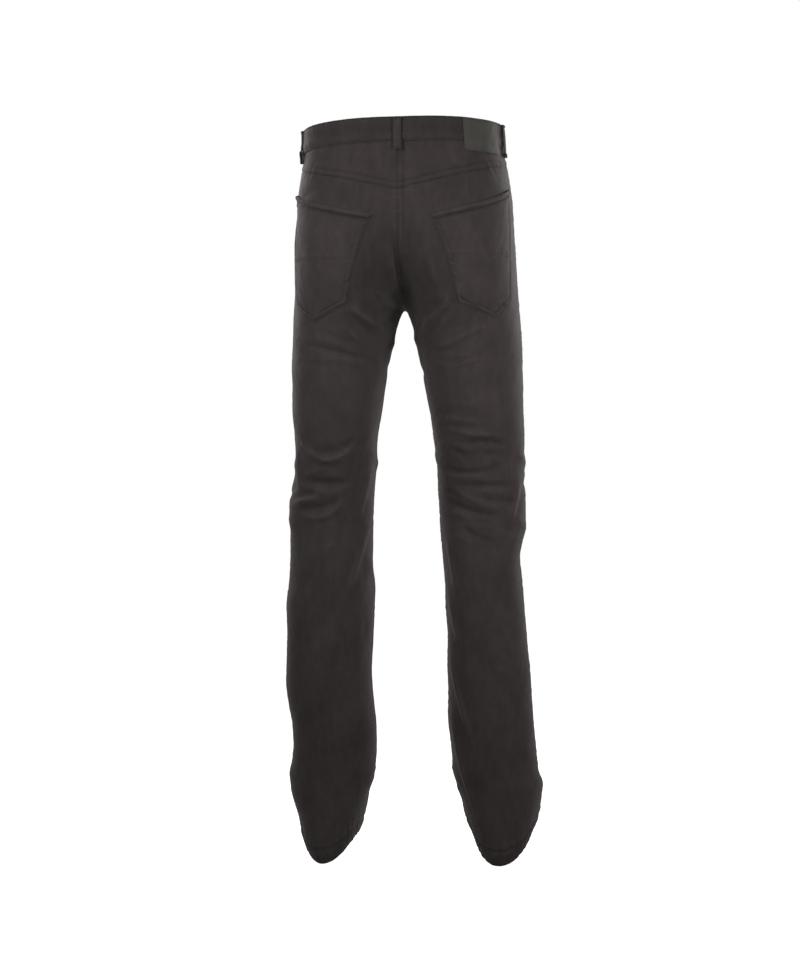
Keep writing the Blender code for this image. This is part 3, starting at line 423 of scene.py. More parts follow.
# The largest folds, each a soft ridge (depth above 0) or trough (below 0) along a bowed line.
# A row holds, in millimetres: across1, height1, across2, height2, bow, depth and width. The face
# it lies on and its side key the rows. across is the distance from the mid-plane on the back and
# front, and the place towards the back on the outer and inner faces.
FACE_FADE = 0.35           # a face's folds fade where its normal turns this far from it
FOLD_ENDS = 1.2            # how soon a fold dies out at its ends
FOLD_DROP = 0.55           # share of its width: a fold is lit above its line, so it is set lower
FOLDS = {
    ("back", LEFT): (
        # from the yoke down the seat
        (110, -66, 142, -83, 0, -1.4, 7),
        (62, -73, 85, -97, 0, -1.2, 8),
        (36, -106, 52, -122, 0, -1.4, 6),
        (8, -135, 7, -213, 0, -1.8, 3.6),
        (16, -152, 8, -235, 0, 2.8, 3.6),
        # under the seat, fanning out from the crotch
        (38, -224, 10, -243, 0, 3.6, 3.6),
        (34, -245, 13, -262, 0, -1.6, 4),
        (67, -249, 27, -281, 0, 3.8, 4.2),
        (73, -256, 42, -284, 0, -2.6, 4.2),
        (84, -269, 56, -299, 0, 2.6, 3.8),
        (110, -284, 68, -296, 0, -1.2, 3.2),
        (130, -286, 83, -299, 0, 1.6, 4.6),
        (147, -294, 47, -320, 1, -2.4, 3.6),
        (116, -318, 58, -324, 0, 1.3, 4.2),
        (150, -322, 115, -326, 0, -1, 3.6),
        (88, -328, 55, -339, 0, -1, 3.6),
        # behind the knee, with the streaks that run down from it
        (153, -436, 70, -434, 29, 3.6, 5.2),
        (163, -443, 157, -505, 0, 3, 4.5),
        (95, -445, 68, -436, 0, -1.8, 6),
        (132, -452, 98, -450, 0, -1.8, 6),
        (55, -462, 68, -496, 0, 2, 3.4),
        (125, -468, 86, -454, 0, 1.6, 3.6),
        (54, -469, 74, -554, 0, 2.8, 3.8),
        (151, -486, 115, -475, 0, 1.5, 4),
        (148, -494, 86, -497, 0, -4, 6),
        (140, -503, 86, -502, 8, 2.2, 6),
        (155, -510, 134, -513, 0, -2.2, 6),
        (165, -526, 131, -517, 0, 4, 4.8),
        (160, -535, 99, -523, 2, -3.6, 6),
        (157, -543, 94, -524, 13, 2.8, 5),
        (59, -560, 92, -673, 0, 2.8, 3.6),
        (106, -580, 125, -600, 0, 1.4, 8),
        # down the calf
        (128, -607, 104, -583, 0, 1.2, 5),
        (60, -613, 61, -720, 4, 1.6, 4.5),
        (64, -613, 65, -730, 0, -2, 5),
        (112, -700, 150, -770, 6, 1.6, 14),
    ),
    ("back", RIGHT): (
        # from the yoke down the seat
        (108, -64, 138, -80, 0, -1.2, 8),
        (50, -78, 66, -100, 0, -1, 8),
        # under the seat, fanning out from the crotch
        (69, -237, 30, -267, 6, 3.6, 4.2),
        (70, -260, 51, -286, 0, 2.6, 4),
        (21, -275, 33, -264, 0, -1.8, 3.6),
        (76, -284, 112, -277, 0, 1, 3.6),
        (54, -305, 121, -277, 0, 2.4, 4.4),
        (39, -309, 82, -309, 0, -1.9, 3.8),
        (54, -318, 97, -317, 0, 1.6, 4.2),
        (28, -324, 75, -335, 0, 1, 3.6),
        (71, -335, 117, -322, 0, 1.2, 3.6),
        # behind the knee, with the streaks that run down from it
        (63, -387, 107, -390, 0, 1.3, 4.8),
        (47, -396, 64, -402, 0, -1.5, 4),
        (58, -406, 106, -414, 0, 1.5, 4.8),
        (48, -415, 79, -420, 0, -1.6, 4),
        (65, -422, 137, -434, -3, 2.1, 4.8),
        (146, -440, 147, -492, 0, 1.6, 5.6),
        (71, -444, 100, -456, 0, 1.8, 4.8),
        (83, -445, 143, -445, 4, -3, 4.8),
        (64, -450, 84, -461, 0, -1.6, 4),
        (106, -459, 145, -461, 0, -1.5, 4.8),
        (58, -480, 133, -478, -7, -3, 4.8),
        (62, -492, 107, -491, 0, 1.8, 4.8),
        (163, -498, 150, -554, 0, 3.6, 4.2),
        (75, -504, 152, -505, 0, -3, 4.8),
        (56, -510, 73, -519, 0, -1.5, 4),
        (70, -511, 135, -540, -3, 2.1, 4.8),
        (112, -513, 146, -515, 0, 1, 3.6),
        (104, -521, 154, -528, -2, -2.5, 4.8),
        (62, -528, 129, -549, -3, -3, 4.8),
        (61, -541, 98, -556, 0, 1.6, 4.8),
        (98, -557, 122, -560, 0, -1.3, 4.8),
        (79, -562, 128, -566, 0, 1, 3.6),
        (81, -567, 129, -589, -1, -1.6, 4.8),
        (83, -569, 95, -575, 0, -1.2, 3.2),
        (127, -572, 150, -580, 0, 1.3, 4.8),
        (68, -576, 93, -588, 0, 1.3, 4.8),
        (56, -586, 70, -658, 0, 2.6, 3.6),
        # down the calf
        (130, -660, 146, -800, 4, 1.6, 16),
        (56, -660, 71, -730, 0, 2.4, 3.6),
        (58, -732, 87, -870, -4, 3, 3.8),
        (59, -836, 89, -971, -4, 3, 3.8),
    ),
    ("front", LEFT): (
        (18, -228, 98, -196, -4, 2.6, 8),
        (24, -246, 118, -232, -4, 2.8, 8),
        (32, -272, 124, -280, 2, 2.2, 9),
        (22, -236, 100, -214, -3, -2, 7),
        (68, -448, 150, -456, 6, 2, 10),
        (62, -486, 140, -478, -5, -2, 9),
        (74, -520, 160, -530, 6, 2.2, 10),
        (70, -905, 168, -918, 6, 2.8, 10),
        (66, -934, 166, -930, -6, -2.8, 9),
        (78, -956, 164, -966, 5, 2.6, 10),
    ),
    ("front", RIGHT): (
        (16, -224, 92, -190, -4, 2.4, 8),
        (26, -248, 120, -238, -4, 2.8, 9),
        (34, -276, 118, -290, 2, 2.2, 9),
        (24, -238, 104, -220, -3, -2, 7),
        (60, -454, 146, -446, -6, 2.2, 10),
        (66, -492, 152, -500, 5, -2, 9),
        (70, -534, 144, -522, -6, 2, 10),
        (74, -912, 172, -902, -6, 2.8, 10),
        (70, -936, 174, -944, 6, -2.8, 9),
        (82, -968, 170, -958, -5, 2.6, 10),
    ),
    ("outer", LEFT): (
        (-40, -462, 30, -474, 4, 2, 8),
        (-34, -512, 34, -500, -4, -2.4, 7),
        (-30, -545, 36, -556, 4, 1.8, 9),
        (-34, -924, 46, -912, -4, 2.2, 10),
    ),
    ("outer", RIGHT): (
        (-36, -470, 34, -458, -4, 2, 8),
        (-40, -500, 30, -512, 4, -2.4, 7),
        (-30, -566, 38, -552, -4, 2, 9),
        (-30, -938, 48, -928, -4, 2.2, 10),
    ),
    ("inner", LEFT): (
        (-52, -292, 40, -304, 6, 2, 8),
        (-46, -324, 44, -318, -5, -1.8, 8),
        (-40, -468, 30, -450, -4, 2, 8),
        (-38, -700, 30, -600, 4, 1.8, 10),
        (-30, -930, 44, -945, 4, 2, 10),
    ),
    ("inner", RIGHT): (
        (-50, -286, 46, -296, 6, 2, 8),
        (-48, -330, 40, -342, 5, -1.8, 8),
        (-42, -452, 26, -470, 4, 2, 8),
        (-36, -760, 32, -640, 4, 1.8, 10),
        (-30, -948, 44, -936, -4, 2, 10),
    ),
}


def fold_height(side, points, normals):
    """How far the folds and creases lift each point of the cloth along its normal."""
    lift = np.zeros(points.shape[:-1])
    looks = {
        "back": (side * points[..., 0], normals[..., 1]),
        "front": (side * points[..., 0], -normals[..., 1]),
        "outer": (points[..., 1], side * normals[..., 0]),
        "inner": (points[..., 1], -side * normals[..., 0]),
    }
    for face, (across, toward) in looks.items():
        seen = ease(toward / FACE_FADE)
        for row in FOLDS[face, side]:
            across1, height1, across2, height2, bow, depth, width = np.array(row) / 1000
            run = np.array((across2 - across1, height2 - height1))
            length = math.hypot(*run)
            run /= length
            a, b = across - across1, points[..., 2] - height1 + FOLD_DROP * width
            t = np.clip((a * run[0] + b * run[1]) / length, -1, 2)
            off = b * run[0] - a * run[1] - bow * 4 * t * (1 - t)
            lift += depth * seen * np.exp(-(off / width) ** 2 - FOLD_ENDS * (2 * t - 1) ** 4)
    return lift


def band_middle(turn):
    """Height of the waistband's middle line round the waist."""
    front, edge, back = (BAND_MIDDLE[k] for k in ("front", "side", "back"))
    ahead = edge + (front - edge) * np.cos(np.clip(turn, 0, 1) * math.pi / 2) ** 2
    behind = edge + (back - edge) * np.sin((np.clip(turn, 1, 2) - 1) * math.pi / 2) ** 2
    return np.where(turn <= 1, ahead, behind)


def hem_height(side, turn):
    """Height of the hem, lower at the back and higher on the instep."""
    ahead = HEM_FRONT_LIFT * np.sin(np.clip(turn, 0, 1) * math.pi)
    bend = math.log(0.5) / math.log(1 - HEM_LOWEST[side])
    behind = HEM_BACK_DROP[side] * np.sin(np.clip(2 - turn, 0, 1) ** bend * math.pi) ** HEM_POINT
    return HEM_SIDE + np.where(turn <= 1, ahead, -behind)


def panel_top(half, turn):
    """Height of a panel's upper seam."""
    if half == "back":
        return YOKE_SIDE + (YOKE_BACK - YOKE_SIDE) * (turn - 1) ** YOKE_CURVE
    return band_middle(turn) - BAND_HEIGHT / 2


# The cloth never lies quite even: broad soft waves, and small ones drawn up along each seam.
WAVES, WAVE_SPREAD, WAVE_TALL = 9, (0.7, 1.5), 0.7     # how many, of what sizes, and how slanted
BROAD_WAVE, BROAD_LIFT, BROAD_SEED = 0.055, 0.00042, 11
SMALL_WAVE, SMALL_LIFT, SMALL_SEED = 0.016, 0.00009, 12
PUCKER_WAVES = (0.0068, 0.0083, 0.0107, 0.0139, 0.0210)
PUCKER_HEIGHT = 1.6        # about how high they pile up
PUCKER_SWELL = (5, 9)      # each comes and goes over this many of its lengths
SEAM_PUCKER, SEAM_REACH = 0.00034, 0.011
SEAM_SEEDS = {"side": 54, "inner": 52, "top": 81, "low": 81}    # both sides of a seam pucker alike


def uneven(points, size, seed):
    """Soft waves of about this size all over the cloth, from -1 to 1 or so."""
    chance = np.random.default_rng(seed)
    total = np.zeros(points.shape[:-1])
    for _ in range(WAVES):
        way = chance.normal(size=3) * (1.0, 1.0, WAVE_TALL)
        way *= 2 * math.pi / (size * chance.uniform(*WAVE_SPREAD) * np.linalg.norm(way))
        total += np.sin(points @ way + chance.uniform(0, 2 * math.pi))
    return total / math.sqrt(WAVES / 2)


def pucker(along, seed):
    """Uneven small waves along a seam, from -1 to 1 or so."""
    chance = np.random.default_rng(seed)
    total = np.zeros(np.shape(along))
    for wave in PUCKER_WAVES:
        swell = 0.5 + 0.5 * np.sin(2 * math.pi * along / (wave * chance.uniform(*PUCKER_SWELL))
                                   + chance.uniform(0, 2 * math.pi))
        ripple = np.sin(2 * math.pi * along / wave + chance.uniform(0, 2 * math.pi))
        total = total + swell * ripple
    return total / PUCKER_HEIGHT


FELL_WIDTH = 0.0062        # the felled seams' folded allowance
FELL_LIFT = 0.0007
FELL_EDGE = 0.0016         # half the width of its slope
FELL_CREST, FELL_TROUGH = 0.0014, 0.0020         # widths of the lit crest and the shade beside it
STITCH_LINES = (0.0013, 0.0052)   # two rows of stitches hold it
STITCH_SINK, STITCH_SINK_WIDTH = 0.00032, 0.0011
FELL_HOLLOW, FELL_HOLLOW_AT = 0.5, 1.6   # the shade's share of SEAM_SINK, and place in FELL_EDGEs
# painted highlight on the fell's crest, painted shade on its rows of stitches and in the trough
# beside it
FELL_PAINTED_LIGHT = {"crest": 0.55, "rows": -0.45, "trough": -0.9}
SEAM_SINK, SEAM_SINK_WIDTH = 0.0008, 0.0022
SEAM_LIGHT, SEAM_MARK = 0.0035, 0.0016   # a lighter mark lies this far off a seam, partly wear and partly painted highlight; a mark's width
SEAM_WEAR_AND_HIGHLIGHT, SEAM_SHADE = 0.5, 0.9          # and how much lighter it is there, and how much darker the painted shade makes the seam
SEAT_SEAM_FLAT, SEAT_SEAM_EASE = 0.7, 0.03    # the seat seam is less sunk than the inseam below it
TOP_SUNK = 0.8             # how sunk the back panels' upper seams are
# painted highlight just above the hem's row of stitches, and painted shade along it
HEM_LIGHT, HEM_MARK, HEM_HIGHLIGHT = 0.0045, 0.0022, 0.5
TOP_MARK = 0.0018
HEM_DEPTH = 0.0215         # the turned hem, from its fold to its row of stitches
HEM_SINK, HEM_SINK_WIDTH = {LEFT: 0.0006, RIGHT: 0.0011}, 0.0024
HEM_CURL = 0.0034          # it curls under by this much
HEM_ROPE, HEM_ROPE_AT, HEM_ROPE_WIDTH = 0.00045, 0.006, 0.008    # it is roped, and above it too
HEM_ROPE_SLANT = 0.5       # the ropes lean
HEM_STEP = 0.004           # height over which the turned hem swells
HEM_SEEDS = {"front": 30, "back": 50}
SEAT_FELL_END, SEAT_FELL_FADE = -0.165, 0.040    # the seat seam's fell fades out downwards
SEAT_MIDDLE = -0.235       # height where the seat is fullest, and its painted shade darkest
SEAT_FILL, SEAT_FILL_WIDTH = 0.0030, 0.016       # how much fuller it is along its seam
SEAT_FILL_TALL, SEAT_FILL_FOOT = 0.060, 0.014    # up and down, and how soon from the crotch
SEAT_SHADE, SEAT_SHADE_WIDE, SEAT_SHADE_TALL = 2.20, 0.075, 0.085
CALF_SHADE, CALF_START, CALF_FADE = 0.40, -0.52, 0.30    # painted shade: the cloth is darker low down, where less light reaches
PAINTED_FILL, PAINTED_FILL_DROP = 1.8, 0.035         # painted light: lighter just below the crotch, in the shade between the legs
PAINTED_FILL_WIDE, PAINTED_FILL_TALL = 0.018, 0.050
TUCK, TUCK_IN = 0.0032, 0.0026   # what is sewn under the waistband: how far up, how far in
TUCK_BEND = 0.0016         # over this height it bends in
TUCK_STEPS = (-TUCK, -0.0020, -0.0009, -0.0003)
LAP_START, LAP_EASE = 0.009, 0.004     # left of the centre front, that cloth follows the lap
LAP_FOLLOW = 1.6           # and stays with it until the lap has come back to 1 / 1.6 of its rise
RIDGE_PAINT_SHARE, RIDGE_PAINT_LIFT = 0.8, 0.003       # painted highlight and shade, partly also wear: what stands this proud is painted this much lighter, and what is sunk as far this much darker


def felled(distance, share=1.0):
    """Lift and painted highlight and shade of a felled seam, at a distance from it: a flat ridge
    with two sunk rows.
    """
    ridge = ease((FELL_WIDTH + FELL_EDGE - distance) / (2 * FELL_EDGE))
    rows = sum(bump(distance - line, STITCH_SINK_WIDTH) for line in STITCH_LINES)
    crest = bump(distance - FELL_WIDTH + FELL_EDGE, FELL_CREST)
    trough = bump(distance - FELL_WIDTH - FELL_HOLLOW_AT * FELL_EDGE, FELL_TROUGH)
    lift = (FELL_LIFT * ridge - STITCH_SINK * rows - FELL_HOLLOW * SEAM_SINK * trough) * share
    tone_and_painted_light = FELL_PAINTED_LIGHT["crest"] * crest + FELL_PAINTED_LIGHT["rows"] * rows + FELL_PAINTED_LIGHT["trough"] * trough
    return lift, tone_and_painted_light * share


def drawn_up(edge, distance, along, sunk):
    """Lift of the cloth beside a plain seam: sunk in the seam, and puckered along it."""
    return (SEAM_PUCKER * pucker(along, SEAM_SEEDS[edge]) * bump(distance, SEAM_REACH)
            - SEAM_SINK * sunk * bump(distance, SEAM_SINK_WIDTH))


def tucked(distance):
    """How far in the cloth bends to pass under the waistband, at a distance below its edge."""
    return TUCK_IN * ease(0.5 - distance / TUCK_BEND)


def lap_rise(side, arc):
    """How far a front lies outward for the lap, 0 to 1, at a distance from the centre front."""
    return ease((BAND_LAP_FLAT + BAND_LAP_FADE - arc) / BAND_LAP_FADE) * (side == LEFT)


def soft_surface(side, turn, height):
    """The cloth with its folds and soft waves: bare points, outward directions, lift, and painted
    highlight on its ridges and painted shade in its troughs.
    """
    points = bare(side, turn, height)
    normals = facing(bare, side, turn, height)
    lift = fold_height(side, points, normals)
    lift += BROAD_LIFT * uneven(points, BROAD_WAVE, BROAD_SEED)
    lift += SMALL_LIFT * uneven(points, SMALL_WAVE, SMALL_SEED)
    # painted highlight on the folds' ridges, painted shade in their troughs
    return points, normals, lift, RIDGE_PAINT_SHARE * np.clip(lift / RIDGE_PAINT_LIFT, -1, 1)


def leg_surface(side, half, turn, height):
    """A leg panel's outside: points, outward directions, its shift of colour by tone and painted
    highlight and shade, and distances to its four edges.
    """
    width = half_width(side, half, height)
    across, above_crotch = turn * width, height - CROTCH
    apart = {"side": np.abs(turn - 1) * width}
    apart["inner"] = width - apart["side"]
    apart["top"] = panel_top(half, turn) - height
    apart["hem"] = height - hem_height(side, turn)
    points, normals, lift, tone_and_painted_light = soft_surface(side, turn, height)
    seat = ease(above_crotch / SEAT_SEAM_EASE + 1)
    for edge, sunk in (("side", 1.0), ("inner", 1 - SEAT_SEAM_FLAT * seat)):
        lift += drawn_up(edge, apart[edge], height, sunk)
        # beside each seam, wear and painted highlight; in it, painted shade
        tone_and_painted_light += SEAM_WEAR_AND_HIGHLIGHT * sunk * bump(apart[edge] - SEAM_LIGHT, SEAM_MARK)
        tone_and_painted_light -= SEAM_SHADE * sunk * bump(apart[edge], SEAM_MARK)
    # painted light filling the shade beside the inseam just below the crotch
    tone_and_painted_light += PAINTED_FILL * bump(apart["inner"], PAINTED_FILL_WIDE) * bump(above_crotch + PAINTED_FILL_DROP, PAINTED_FILL_TALL)
    # painted shade, darker towards the hems
    tone_and_painted_light -= CALF_SHADE * ease((CALF_START - height) / CALF_FADE)
    if half == "front":
        lapped = ease((across - LAP_START) / LAP_EASE)
        lapped = lapped * np.minimum(LAP_FOLLOW * lap_rise(side, across), 1)
        lift += drawn_up("top", apart["top"], across, 0) - tucked(apart["top"]) * (1 - lapped)
    else:
        full = bump(height - SEAT_MIDDLE, SEAT_FILL_TALL) * ease(above_crotch / SEAT_FILL_FOOT)
        lift += SEAT_FILL * bump(apart["inner"], SEAT_FILL_WIDTH) * full
        lift += drawn_up("top", apart["top"], across, TOP_SUNK)
        # painted shade over the middle of the seat, down to the crotch
        shade = bump(points[..., 0], SEAT_SHADE_WIDE) * bump(height - SEAT_MIDDLE, SEAT_SHADE_TALL)
        tone_and_painted_light -= SEAT_SHADE * shade
        # painted shade along the panel's upper seam, under the yoke's fell
        tone_and_painted_light -= bump(apart["top"], TOP_MARK)
    if half == "back" and side == RIGHT:
        ridge, fell_painted_light = felled(apart["inner"], ease((height - SEAT_FELL_END) / SEAT_FELL_FADE))
        lift, tone_and_painted_light = lift + ridge, tone_and_painted_light + fell_painted_light
    above_hem = apart["hem"] - HEM_DEPTH
    seed = HEM_SEEDS[half] + 7 * side
    slanted = across + HEM_ROPE_SLANT * above_hem
    rope = ease(-above_hem / HEM_STEP) * pucker(slanted, seed + 2)
    rope += pucker(across, seed + 3) * bump(above_hem - HEM_ROPE_AT, HEM_ROPE_WIDTH)
    lift += HEM_ROPE * rope - HEM_SINK[side] * bump(above_hem, HEM_SINK_WIDTH)
    lift -= HEM_CURL * ease(-above_hem / HEM_DEPTH) ** 2
    # painted highlight above the hem's row of stitches, painted shade along it
    tone_and_painted_light += HEM_HIGHLIGHT * bump(above_hem - HEM_LIGHT, HEM_MARK) - bump(above_hem, HEM_MARK)
    return points + normals * lift[..., None], normals, tone_and_painted_light, apart


EDGE_LEAST = 0.35          # share of a wall's thickness that is left at its rounded edge


def rounding(distance, thickness):
    """Share of the wall's thickness at a distance from its rounded edge."""
    near = np.clip(distance / (0.5 * thickness), 0, 1)
    return np.maximum(np.sqrt(1 - (1 - near) ** 2), EDGE_LEAST)


def stations(length, near, far, spacing):
    """Distances across a strip: the given ones at its two ends, and even ones between."""
    between = length - near[-1] - far[-1]
    count = max(2, math.ceil(between / spacing) + 1)
    middle = np.linspace(near[-1], length - far[-1], count)
    return np.concatenate([near[:-1], middle, length - np.array(far[-2::-1])])


def two_sides(points, normals, thickness, share):
    """The outside and inside of a wall that hangs inward from points, thinner where share says."""
    thickness = np.broadcast_to(thickness, share.shape)[..., None]
    middle = points - normals * thickness / 2
    reach = normals * thickness * share[..., None] / 2
    return middle + reach, middle - reach


def cloth_piece(name, outer, inner, flat, tone_and_painted_light, material):
    """One closed mesh from the outside and inside of a piece of cloth.

    flat gives each point's place on the flat cut, in metres, and the last array how much its colour
    is shifted lighter or darker, by tone, wear and painted highlight and shade.
    """
    rows, columns = outer.shape[:2]
    number = np.arange(rows * columns).reshape(rows, columns)
    quads = np.stack([number[:-1, :-1], number[1:, :-1], number[1:, 1:], number[:-1, 1:]], -1)
    quads = quads.reshape(-1, 4)
    edge = np.concatenate([number[0, :-1], number[:-1, -1], number[-1, :0:-1], number[:0:-1, 0]])
    after = np.roll(edge, -1)
    back = rows * columns
    rim = np.stack([after, edge, edge + back, after + back], -1)
    faces = np.vstack([quads, rim, quads[:, ::-1] + back])
    a, b, c = (outer.reshape(-1, 3)[quads[len(quads) // 2, k]] for k in (0, 1, 2))
    out = (outer - inner).reshape(-1, 3)[quads[len(quads) // 2, 0]]
    if np.dot(np.cross(b - a, c - a), out) < 0:
        faces = faces[:, ::-1]
    return solid_piece(name, np.concatenate([outer, inner]).reshape(-1, 3), faces,
                       np.concatenate([flat, flat]).reshape(-1, 2),
                       np.concatenate([tone_and_painted_light, tone_and_painted_light * 0]).ravel(), material)


def solid_piece(name, vertices, faces, flat, tone_and_painted_light, material):
    """An object with one closed mesh, its flat map, and the shift of its colour by tone, wear and
    painted highlight and shade.
    """
    mesh = bpy.data.meshes.new(name)
    mesh.from_pydata(vertices, [], faces)
    mesh.shade_smooth()
    corner = np.empty(len(mesh.loops), dtype=np.int32)
    mesh.loops.foreach_get("vertex_index", corner)
    layer = mesh.uv_layers.new(name="cut")
    layer.data.foreach_set("uv", np.asarray(flat)[corner].ravel())
    # each point's shift of colour: tone and wear, and painted highlight and shade
    tone_and_painted_light_layer = mesh.attributes.new("tone_and_painted_light", "FLOAT", "POINT")
    tone_and_painted_light_layer.data.foreach_set("value", np.asarray(tone_and_painted_light, dtype=np.float32))
    mesh.materials.append(material)
    return placed(name, mesh)


def dress(piece, node):
    """Puts a piece in the place of its solid."""
    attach(piece, "root")
    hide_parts(node)


def new_group(name, inputs, outputs):
    """An empty shader group with named sockets; returns it with its two end nodes."""
    group = bpy.data.node_groups.new(name, "ShaderNodeTree")
    for way, sockets in (("INPUT", inputs), ("OUTPUT", outputs)):
        for label, kind, value in sockets:
            socket = group.interface.new_socket(label, in_out=way, socket_type="NodeSocket" + kind)
            if value is not None:
                socket.default_value = value
    return group, group.nodes.new("NodeGroupInput"), group.nodes.new("NodeGroupOutput")


def weighed(tree, parts, start=0.0):
    """The sum of patterns, each times its share."""
    for pattern, share in parts:
        start = reckon(tree, "MULTIPLY_ADD", pattern, share, start)
    return start


def raised(tree, strength, depth, height):
    """The direction of a face that a pattern raises."""
    return add_node(tree, "ShaderNodeBump", inputs={
        "Strength": strength, "Distance": depth, "Height": height}).outputs["Normal"]


# The knit's face: columns of small V-shaped loops, read from the flat cut in metres.
loops, loops_in, loops_out = new_group(
    "knit_loops",
    (("Cut", "Vector", None), ("Wale", "Float", 0.0011), ("Course", "Float", 0.0009)),
    (("Height", "Float", None),))
cut = add_node(loops, "ShaderNodeSeparateXYZ", inputs={0: loops_in.outputs["Cut"]})
wale = reckon(loops, "DIVIDE", cut.outputs["X"], loops_in.outputs["Wale"])
leg_of_v = reckon(loops, "PINGPONG", wale, 0.5)
course = reckon(loops, "DIVIDE", cut.outputs["Y"], loops_in.outputs["Course"])
slanted = reckon(loops, "MULTIPLY_ADD", leg_of_v, 0.9, course)
strand = reckon(loops, "SINE", reckon(loops, "MULTIPLY", slanted, 2 * math.pi))
strand = reckon(loops, "MULTIPLY_ADD", strand, 0.5, 0.5)
column = reckon(loops, "SINE", reckon(loops, "MULTIPLY", wale, 2 * math.pi))
column = reckon(loops, "POWER", reckon(loops, "ABSOLUTE", column), 0.5)
feed(loops, loops_out, {"Height": reckon(loops, "MULTIPLY", strand, column)})

# The nap: broad mottling, cloudy patches, a fine fuzz and lint, read from places in metres.
LINT_SCALE, LINT_SIZE = 190.0, 0.055
nap, nap_in, nap_out = new_group(
    "brushed_nap", (("Place", "Vector", None), ("Fuzz Size", "Float", 0.0012)),
    [(label, "Float", None) for label in ("Mottle", "Cloud", "Fuzz", "Lint")])
along_leg = add_node(nap, "ShaderNodeVectorMath", {"operation": "MULTIPLY"},
                     {0: nap_in.outputs["Place"], 1: (1.0, 1.0, 0.45)}).outputs[0]
fuzz_scale = reckon(nap, "DIVIDE", 1.0, nap_in.outputs["Fuzz Size"])
flecks = add_node(nap, "ShaderNodeTexVoronoi", inputs={
    "Vector": nap_in.outputs["Place"], "Scale": LINT_SCALE, "Randomness": 1.0}).outputs["Distance"]
feed(nap, nap_out, {
    "Mottle": noise(nap, along_leg, 13.0, Detail=3.0, Roughness=0.55),
    "Cloud": noise(nap, along_leg, 85.0, Detail=4.0, Roughness=0.60),
    "Fuzz": noise(nap, along_leg, fuzz_scale, Detail=5.0, Roughness=0.72),
    "Lint": reckon(nap, "LESS_THAN", flecks, LINT_SIZE)})

# The brushed knit lies between two shades. Its colour is shifted by tone and wear, by painted shade
# in the seams and hollows, and by painted highlight on the ridges.
KNIT_DARK = (0.0120, 0.0090, 0.0087)
KNIT_LIGHT = (0.0345, 0.0268, 0.0260)
KNIT_SHEEN, KNIT_SHEEN_TINT = 0.10, (0.80, 0.74, 0.71, 1.0)
knit, knit_tree, knit_shader, knit_place = plain_material("knit", KNIT_LIGHT, 0.92)
cut_map = add_node(knit_tree, "ShaderNodeUVMap", {"uv_map": "cut"}).outputs["UV"]
knitted = add_node(knit_tree, "ShaderNodeGroup", {"node_tree": loops},
                   {"Cut": cut_map}).outputs["Height"]
brushed = add_node(knit_tree, "ShaderNodeGroup", {"node_tree": nap}, {"Place": knit_place}).outputs
# painted highlight and shade, with tone and wear, reach the colour through this attribute
tone_and_painted_light_mask = add_node(knit_tree, "ShaderNodeAttribute", {"attribute_name": "tone_and_painted_light"}).outputs["Fac"]
tone = weighed(knit_tree, (
    (brushed["Mottle"], 0.36), (brushed["Cloud"], 0.90), (brushed["Fuzz"], 0.60),
    (knitted, 0.10), (tone_and_painted_light_mask, 0.30), (brushed["Lint"], 0.35)), start=-0.41)
relief = weighed(knit_tree, ((knitted, 0.35), (brushed["Fuzz"], 0.9), (brushed["Cloud"], 2.2)))
feed(knit_tree, knit_shader, {
    "Base Color": mixed(knit_tree, tone, KNIT_DARK, KNIT_LIGHT),
    "Roughness": weighed(knit_tree, ((brushed["Fuzz"], 0.16),), start=0.80),
    "Specular IOR Level": 0.25, "Sheen Weight": KNIT_SHEEN, "Sheen Roughness": 0.45,
    "Sheen Tint": KNIT_SHEEN_TINT,
    "Normal": raised(knit_tree, 0.55, 0.00045, relief)})

# Thread: a row of stitches along each line that a needle has followed. The line is a mesh of
# edges whose points carry the direction out of the cloth.
THREAD = 0.00024           # radius
STITCH_LENGTH, STITCH_PITCH = 0.0023, 0.0030
thread_tree = bpy.data.node_groups.new("row_of_stitches", "GeometryNodeTree")
for label, kind, value in (
        ("Seam", "Geometry", None), ("Pitch", "Float", STITCH_PITCH),
        ("Stitch Length", "Float", STITCH_LENGTH), ("Thread Radius", "Float", THREAD),
        ("Turned", "Float", 0.0), ("Slack", "Float", 0.10), ("Seed", "Int", 7),
        ("Thread", "Material", None)):
    thread_socket = thread_tree.interface.new_socket(
        label, in_out="INPUT", socket_type="NodeSocket" + kind)
    if value is not None:
        thread_socket.default_value = value
thread_tree.interface.new_socket("Stitches", in_out="OUTPUT", socket_type="NodeSocketGeometry")


